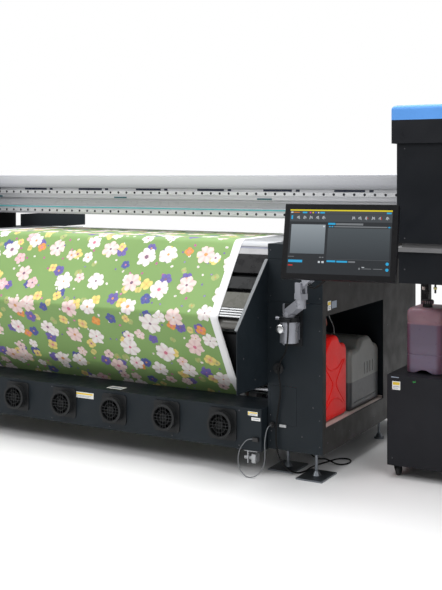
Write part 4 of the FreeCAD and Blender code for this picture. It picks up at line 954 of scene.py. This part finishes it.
def display():
    """The lit page of a generic user interface; areas are in thousandths of its width and height."""
    wide, tall = 474 * MM, 296 * MM
    colors = [
        glow("ui_ground", (0.030, 0.036, 0.042)), glow("ui_yellow", (0.85, 0.70, 0.02), 0.8),
        glow("ui_cyan", (0.02, 0.40, 0.72), 0.9), glow("ui_white", (0.62, 0.66, 0.70), 0.9),
        glow("ui_light_pane", (0.13, 0.155, 0.175), 0.9, (0.30, 0.34, 0.37)),
        glow("ui_dark_pane", (0.030, 0.037, 0.043), 0.9, (0.070, 0.085, 0.095)),
        glow("ui_grey", (0.22, 0.235, 0.25), 0.8), glow("ui_red", (0.60, 0.03, 0.02), 0.9),
        glow("ui_magenta", (0.65, 0.05, 0.45), 0.9), glow("ui_blue", (0.05, 0.10, 0.70), 0.9),
        glow("ui_orange", (0.55, 0.16, 0.02), 0.9), glow("ui_strip", (0.055, 0.063, 0.070), 0.9),
    ]
    ground, yellow, cyan, white, light, dark, grey, red, magenta, blue, orange, strip = range(12)
    areas = [
        (0, 0, 1000, 1000, ground), (0, 0, 1000, 22, yellow), (0, 26, 1000, 66, strip),
        (0, 70, 1000, 190, strip), (8, 36, 30, 56, white), (34, 40, 95, 54, orange),
        (125, 36, 170, 60, cyan), (300, 36, 345, 60, cyan), (945, 34, 990, 58, cyan),
        (195, 38, 209, 58, magenta), (222, 38, 236, 58, yellow), (249, 38, 263, 58, blue),
        (276, 38, 290, 58, white), (14, 95, 30, 155, cyan), (20, 235, 360, 690, light),
        (336, 250, 352, 275, white), (5, 735, 65, 743, grey), (315, 735, 332, 750, grey),
        (340, 735, 357, 750, grey), (10, 790, 150, 828, cyan), (305, 800, 325, 830, white),
        (340, 800, 362, 830, white), (385, 205, 455, 235, cyan), (460, 208, 725, 238, grey),
        (385, 250, 1000, 275, strip), (395, 254, 409, 272, cyan), (420, 254, 434, 272, cyan),
        (445, 255, 955, 271, grey), (965, 252, 985, 274, cyan), (385, 285, 985, 755, dark),
        (385, 760, 985, 772, strip), (390, 785, 475, 812, cyan), (485, 787, 590, 814, cyan),
        (600, 790, 665, 812, grey), (955, 800, 985, 835, cyan), (955, 885, 985, 930, cyan),
        (10, 865, 55, 882, red), (700, 885, 715, 915, grey), (730, 872, 755, 882, white),
        (730, 895, 820, 903, grey), (840, 895, 925, 903, grey),
    ]
    icons = [0.085, 0.150, 0.212, 0.276, 0.338, 0.63, 0.69, 0.755, 0.82, 0.885, 0.955]
    turn = screen_turn()

    def build(bm):
        layer = bm.loops.layers.uv.new("pane")

        def plate(corners, depth, slot):
            verts = [bm.verts.new(turn @ Vector((-wide / 2 + u * wide, depth, tall / 2 - v * tall)))
                     for u, v in corners]
            face = bm.faces.new(verts)
            face.material_index = slot
            top, bottom = min(v for _, v in corners), max(v for _, v in corners)
            for loop, (u, v) in zip(face.loops, corners):
                loop[layer].uv = (u, 1 - (v - top) / (bottom - top))

        for k, (*edges, slot) in enumerate(areas):
            u0, v0, u1, v1 = (edge / 1000 for edge in edges)
            depth = 0.34 * MM if k == 0 else (0.26 - 0.004 * (k % 4) - (0.05 if k > 3 else 0)) * MM
            corners = [(u0, v0), (u0, v1), (u1, v1), (u1, v0)]
            if slot == cyan and v0 > 0.78 and u0 > 0.9:
                half, angles = (u1 - u0) / 2, [2 * pi * n / 24 for n in range(24)]
                corners = [((u0 + u1) / 2 + half * cos(a),
                            (v0 + v1) / 2 + half * wide / tall * sin(a)) for a in angles]
            plate(corners, depth, slot)
        for k, u in enumerate(icons):
            for n in range(3):
                lean, start, height = 0.006 * (n - 1), u - 0.010 + 0.007 * n, 0.014 + 0.006 * ((k + n) % 3)
                bottom, top = 0.125 - height, 0.125 + height
                end = start + 0.005
                plate([(start, bottom), (start + lean, top), (end + lean, top), (end, bottom)],
                      0.16 * MM, red if k > 5 and n == 2 and k % 2 else white)

    add_object("display", mesh_of(build, "display"), "screen", colors, False)


# ---- small parts

FRONT_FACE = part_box("cabinet_front_covers")[0].y
SIDE_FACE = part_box("cabinet_side_panels")[1].x
BLOWER_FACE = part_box("blower_box")[0].y
CART_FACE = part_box("ink_cart")[0].y


def add_screws(bm, axis, face, spots, radius):
    """Low domed screw heads on a face towards -Y or +X; spots hold the face's other two coordinates."""
    sign = 1 if axis == "X" else -1
    profile = [(0, radius), (0.5 * sign, radius), (1.4 * sign, radius * 0.72), (1.7 * sign, radius * 0.35),
               (1.2 * sign, radius * 0.28)]
    for across, z in spots:
        add_lathe(bm, (face, across, z) if axis == "X" else (across, face, z), profile, axis, 14)


def grid(columns, rows):
    return [(across, z) for across in columns for z in rows]


def screws():
    """Screw heads on the panels' faces."""
    plate_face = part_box("side_plates")[1].x
    station_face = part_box("head_station_shell")[0].y + 14 * MM
    side_spots = [(-0.58, 0.86), (-0.58, 1.10), (-0.30, 0.94), (-0.10, 1.02), (0.20, 1.05), (0.26, 0.95),
                  (0.26, 0.66), (0.26, 0.40), (0.40, 1.10), (0.60, 1.10), (0.70, 0.95), (0.70, 0.45),
                  (-0.58, 0.18), (-0.30, 0.18), (0.05, 0.18), (0.26, 0.18), (0.60, 0.18), (-0.50, 0.23)]
    plate_spots = [(-0.90, 0.62), (-0.75, 0.80), (-0.78, 0.50), (-0.62, 0.92), (-0.45, 0.62), (-0.35, 0.90)]
    blower_columns = [-1.60 + 0.40 * k for k in range(6)]

    def machine(bm):
        add_screws(bm, "Y", FRONT_FACE, grid((0.545, 0.815), (0.17, 0.30, 0.52, 0.74, 0.90, 1.13)), 3.2)
        add_screws(bm, "Y", FRONT_FACE, ((0.55, 0.22), (0.72, 0.21), (0.78, 0.36)), 4)
        add_screws(bm, "Y", BLOWER_FACE, grid(blower_columns, (0.318, 0.142)), 4)
        add_screws(bm, "X", SIDE_FACE, side_spots, 4.5)
        add_screws(bm, "X", plate_face, plate_spots, 4.5)
        add_screws(bm, "Y", station_face, grid((1.20, 1.55, 1.90, 2.18), (1.05, 1.20, 1.635)), 3.5)

    def cart(bm):
        add_screws(bm, "Y", CART_FACE, grid((1.10, 1.59, 2.08), (0.10, 0.44)), 3.5)

    dark = [finish["chrome_dark"]]
    add_object("panel_screws", mesh_of(machine, "screws"), "machine", dark)
    add_object("cart_screws", mesh_of(cart, "cart_screws"), "cart", dark)


def add_label(bm, corner, across, up, size, bands):
    """A thin sticker: bands are (left, foot, right, top, material number) in shares of its size."""
    across, up = Vector(across), Vector(up)
    out = across.cross(up) * 0.35 * MM
    for u0, v0, u1, v1, slot in bands:
        lift = out * (1 + 0.4 * slot)
        spots = [Vector(corner) + across * (u * size[0]) + up * (v * size[1]) + lift
                 for u, v in ((u0, v0), (u1, v0), (u1, v1), (u0, v1))]
        face = bm.faces.new([bm.verts.new(s) for s in spots])
        face.material_index = slot


def labels():
    """Plain stickers without words or signs: white cards with a yellow band and grey lines."""
    tints = (("white", (0.78, 0.78, 0.76)), ("yellow", (0.78, 0.55, 0.03)), ("grey", (0.25, 0.29, 0.36)))
    graphs = [moulded("label_" + name, tint, 0.45) for name, tint in tints]
    whole = (0, 0, 1, 1, 0)
    card = [whole, (0.08, 0.56, 0.92, 0.9, 1), (0.12, 0.34, 0.88, 0.40, 2), (0.12, 0.16, 0.7, 0.22, 2)]
    wide_card = [whole, (0.04, 0.12, 0.16, 0.88, 1), (0.2, 0.58, 0.96, 0.86, 1), (0.2, 0.36, 0.9, 0.42, 2),
                 (0.2, 0.18, 0.8, 0.24, 2)]
    two_panes = [(0, 0, 1, 1, 2), (0.1, 0.1, 0.45, 0.9, 0), (0.55, 0.1, 0.9, 0.9, 0)]
    x, y, z = (1, 0, 0), (0, 1, 0), (0, 0, 1)
    box_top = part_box("blower_box")[1].z
    on_machine = [
        ((SIDE_FACE, -0.580, 0.835), y, z, (0.040, 0.046), card),
        ((SIDE_FACE, -0.530, 0.840), y, z, (0.062, 0.036), two_panes),
        ((-0.66, BLOWER_FACE, 0.276), x, z, (0.15, 0.032), wide_card),
        ((-0.46, -0.66, box_top), x, y, (0.10, 0.06), [whole, (0.1, 0.3, 0.9, 0.6, 2)]),
        ((0.45, BLOWER_FACE, 0.300), x, z, (0.055, 0.020), wide_card),
        ((0.47, BLOWER_FACE, 0.276), x, z, (0.050, 0.016), [whole, (0.1, 0.4, 0.9, 0.6, 2)]),
    ]
    on_cart = [
        ((1.100, CART_FACE, 0.441), x, z, (0.042, 0.042), card),
        ((1.095, CART_FACE, 0.500), x, z, (0.040, 0.005), [(0, 0, 1, 1, 2)]),
    ]
    for name, body, stickers in (("machine_labels", "machine", on_machine), ("cart_labels", "cart", on_cart)):
        mesh = mesh_of(lambda bm: [add_label(bm, *sticker) for sticker in stickers], name, outward=False)
        add_object(name, mesh, body, graphs, False)


def post_knob():
    """The clamp knob on the lower left of the arm's post."""
    profile = [(0, 6), (0, 18), (3, 22), (18, 22), (20, 20), (21, 10), (27, 10)]
    mesh = mesh_of(lambda bm: add_lathe(bm, (0.652, -0.7635, 0.754), profile, "Y"), "post_knob")
    add_object("post_knob", mesh, "machine", [finish["chrome"]])


def cart_light():
    """The status light in the cart's top edge: a green lens in a dark bezel."""
    green = glow("light_green", (0.05, 0.75, 0.12), 1.6)

    def build(bm):
        y = CART_FACE
        add_block(bm, (1.190, y - 1.2 * MM, 0.484), (1.238, y + 1 * MM, 0.492), 0.8 * MM)
        add_block(bm, (1.208, y - 1.8 * MM, 0.486), (1.220, y - 0.2 * MM, 0.490), 0.5 * MM, slot=1)

    add_object("cart_light", mesh_of(build, "cart_light"), "cart", [finish["black"], green])


def ink_couplings():
    """Hard ink tubes that come down from the head station and stop above the bottles' caps."""
    low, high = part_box("magenta_bottle")
    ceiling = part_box("head_station_shell")[0].z + 4 * MM
    graphs = [finish["black"], moulded("band_yellow", (0.80, 0.72, 0.30), 0.4), finish["liner"]]
    tubes = ((0, 0, 6), (-30, 28, 20), (34, 20, 26))
    sleeves = ((0, 0, 22, 10, 20, 24, 0), (34, 20, 45, 9, 12, 24, 1), (-30, 28, 40, 8, 15, 24, 2))

    def build(bm):
        for k in range(4):
            cap = Vector(((low.x + high.x) / 2 + BOTTLE_PITCH * k, low.y + NECK_BACK, high.z))
            for dx, dy, rise in tubes:
                foot = cap + Vector((dx, dy, rise)) * MM
                add_lathe(bm, foot, [(0, 4), (2, 5), ((ceiling - foot.z) / MM, 5)], "Z", 20)
            for dx, dy, rise, radius, tall, segments, slot in sleeves:
                profile = [(0, radius - 1), (1, radius), (tall - 1, radius), (tall, radius - 1)]
                add_lathe(bm, cap + Vector((dx, dy, rise)) * MM, profile, "Z", segments, slot)

    add_object("ink_couplings", mesh_of(build, "ink_couplings"), "machine", graphs)


def waste_pipes():
    """Rigid waste pipes from the cabinet's roof to just above each can's mouth."""
    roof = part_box("cabinet_side_panels")[1].z - 0.20
    rust = moulded("pipe_red_brown", (0.30, 0.05, 0.02), 0.35, 0.3)
    clear = moulded("pipe_clear", (0.20, 0.21, 0.21), 0.2, 0.5)
    x, can_top = middle_of("red_can").x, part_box("red_can")[1].z
    route = [(x, -0.53, roof), (x, -0.53, roof - 0.08), (x + 0.01, -0.51, 0.83), (x, -0.44, 0.785),
             (x, -0.33, 0.765), (x, -0.289, 0.75), (x, -0.288, can_top + 0.008)]
    add_object("waste_pipe_red", pipe_mesh([route], 8 * MM), "machine", [rust])
    x, can_top = middle_of("grey_can").x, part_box("grey_can")[1].z
    route = [(x, -0.30, roof), (x, -0.30, roof - 0.06), (x, -0.285, 0.84), (x, -0.25, 0.77), (x, -0.20, 0.72),
             (x, -0.172, 0.69), (x, -0.170, can_top + 0.004)]
    add_object("waste_pipe_clear", pipe_mesh([route], 3 * MM), "machine", [clear])


# ---- leads


def lead(name, node, body, slot, route, diameter):
    """A free lead along a route in millimetres, as one smooth spline."""
    metres = [tuple(v * MM for v in spot) for spot in route]
    curve = tube_curve(name, [metres], diameter / 2, 5, 12)
    made = place(name, curve)
    curve.materials.append(finish[slot].material)
    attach(made, body)
    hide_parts(node)


def leads():
    screen_lead = [
        (697, -754, 789), (697, -754, 752), (694, -752, 712), (684, -742, 670), (660, -714, 630),
        (624, -686, 588), (600, -671, 542), (604, -667, 494), (611, -661, 446), (606, -658, 398),
        (597, -657, 350), (590, -656, 302), (584, -658, 252), (584, -662, 202), (588, -662, 152),
        (596, -657, 104), (613, -645, 60), (636, -620, 25), (658, -586, 8), (676, -546, 4.2),
        (683, -498, 4.2), (678, -448, 4.2), (684, -396, 4.2), (698, -346, 4.2), (713, -296, 4.2),
        (725, -250, 4.2), (748, -210, 4.2), (785, -200, 4.2), (812, -228, 4.2), (820, -272, 4.2),
        (806, -314, 4.2), (775, -339, 8), (738, -337, 20), (700, -312, 20), (663, -286, 7),
        (620, -268, 5), (586, -260, 22), (566, -256, 58), (561, -256, 98), (561, -256.5, 129.9),
    ]
    fan_lead = [
        (557, -665, 253), (557, -688, 253), (554, -705, 235), (550, -711, 203), (549, -716, 165),
        (553, -720, 127), (556, -727, 89), (549, -738, 52), (529, -748, 21), (498, -753, 4),
        (464, -754, 4.5), (435, -751, 23), (416, -745, 56), (409, -737, 93), (414, -728, 128),
        (432, -720, 160), (456, -714, 184), (482, -714, 184),
    ]
    along_arm = [
        (817.8, -783.4, 987.0), (827.7, -788.1, 970.3), (847.8, -797.5, 965.7), (871.4, -808.7, 977.0),
        (898.1, -821.2, 994.0), (923.3, -833.0, 1013.6), (944.7, -843.1, 1034.0), (959.6, -850.1, 1050.8),
        (965.2, -852.7, 1070.5), (955.2, -848.1, 1087.2),
    ]
    lead("screen_lead", "arm_lead", "machine", "lead_black", screen_lead, 8 * MM)
    lead("fan_lead", "blower_lead", "machine", "lead_grey", fan_lead, 5 * MM)
    for number, (dx, dy) in ((1, (0, 0)), (2, (5, 11))):
        route = [(x + dx, y + dy, z) for x, y, z in along_arm]
        node = f"arm_cable_{number}"
        lead(node + "_line", node, "upper_arm", "lead_black", route, 7 * MM)


# ---- stage


def area_light(name, spot, target, size, power):
    data = bpy.data.lights.new(name, "AREA")
    data.shape = "RECTANGLE"
    data.size, data.size_y = size
    data.energy = power
    lamp = place(name, data)
    lamp.location = spot
    lamp.rotation_mode = "QUATERNION"
    lamp.rotation_quaternion = (Vector(target) - Vector(spot)).to_track_quat("-Z", "Y")


def stage():
    """Floor, world, lights and camera. The floor fades to white for the camera before its edge."""
    floor_mesh = mesh_of(lambda bm: bmesh.ops.create_grid(bm, x_segments=1, y_segments=1, size=40), "floor")
    floor = place("floor", floor_mesh)
    g = Graph("floor_pale", (0.82, 0.82, 0.83), 0.6)
    g.paint(g.vary((0.82, 0.82, 0.825), 0.01, 2.0))
    fade_start, fade_end = 3.4, 6.0
    fade = g.spread(g.measure("LENGTH", g.place), 0.0, 1.0, fade_start, fade_end)
    seen = g.node("ShaderNodeLightPath").outputs["Is Camera Ray"]
    white = g.node("ShaderNodeEmission").outputs[0]
    inputs = {0: g.times(seen, fade), 1: g.shader.outputs[0], 2: white}
    both = g.node("ShaderNodeMixShader", inputs).outputs[0]
    g.feed(g.tree.nodes["Material Output"].inputs["Surface"], both)
    floor_mesh.materials.append(g.material)
    world = bpy.data.worlds.new("studio")
    bpy.context.scene.world = world
    world.use_nodes = True
    back = world.node_tree.nodes["Background"]
    back.inputs["Color"].default_value = (1, 1, 1, 1)
    path = world.node_tree.nodes.new("ShaderNodeLightPath")
    level = world.node_tree.nodes.new("ShaderNodeMapRange")
    level.inputs["To Min"].default_value = 0.38
    level.inputs["To Max"].default_value = 1.0
    world.node_tree.links.new(path.outputs["Is Camera Ray"], level.inputs["Value"])
    world.node_tree.links.new(level.outputs["Result"], back.inputs["Strength"])
    area_light("key", (-2.5, -5.0, 5.0), (0, 0, 0.9), (4, 2.5), 150)
    area_light("fill", (6.0, -4.0, 4.0), (0.8, 0, 0.6), (4, 3), 90)
    area_light("top", (0, 0.2, 6.0), (0, 0, 0), (8, 5), 560)
    data = bpy.data.cameras.new("camera")
    data.sensor_width = 36
    data.lens = 62.42
    data.shift_y = -0.2008
    camera = place("camera", data)
    camera.location = (2.87, -5.25, 1.5)
    camera.rotation_euler = (radians(90), 0, radians(29.55))
    bpy.context.scene.camera = camera
    bpy.context.scene.view_settings.view_transform = "Standard"


finish_nodes()
printed_cloth()
wound_roll("printed_roll", "takeup_roll", "takeup", print_finish("print_on_roll", 1.8))
wound_roll("blank_roll", "supply_roll", "supply", finish["plain_cloth"])
jerry_can("waste_can_red", "red_can", "red_waste_can", can_finish("can_red", (0.80, 0.012, 0.010), 0.4, 0.0),
          cross_ribs, RED_CROWN, -288 * MM)
jerry_can("waste_can_grey", "grey_can", "grey_waste_can",
          can_finish("can_grey", (0.165, 0.167, 0.158), 0.36, 0.05, 0.41, (0.062, 0.065, 0.07), 0.1),
          bar_ribs, GREY_CROWN, -170 * MM)
bottles()
display()
screws()
labels()
post_knob()
cart_light()
ink_couplings()
waste_pipes()
leads()
stage()
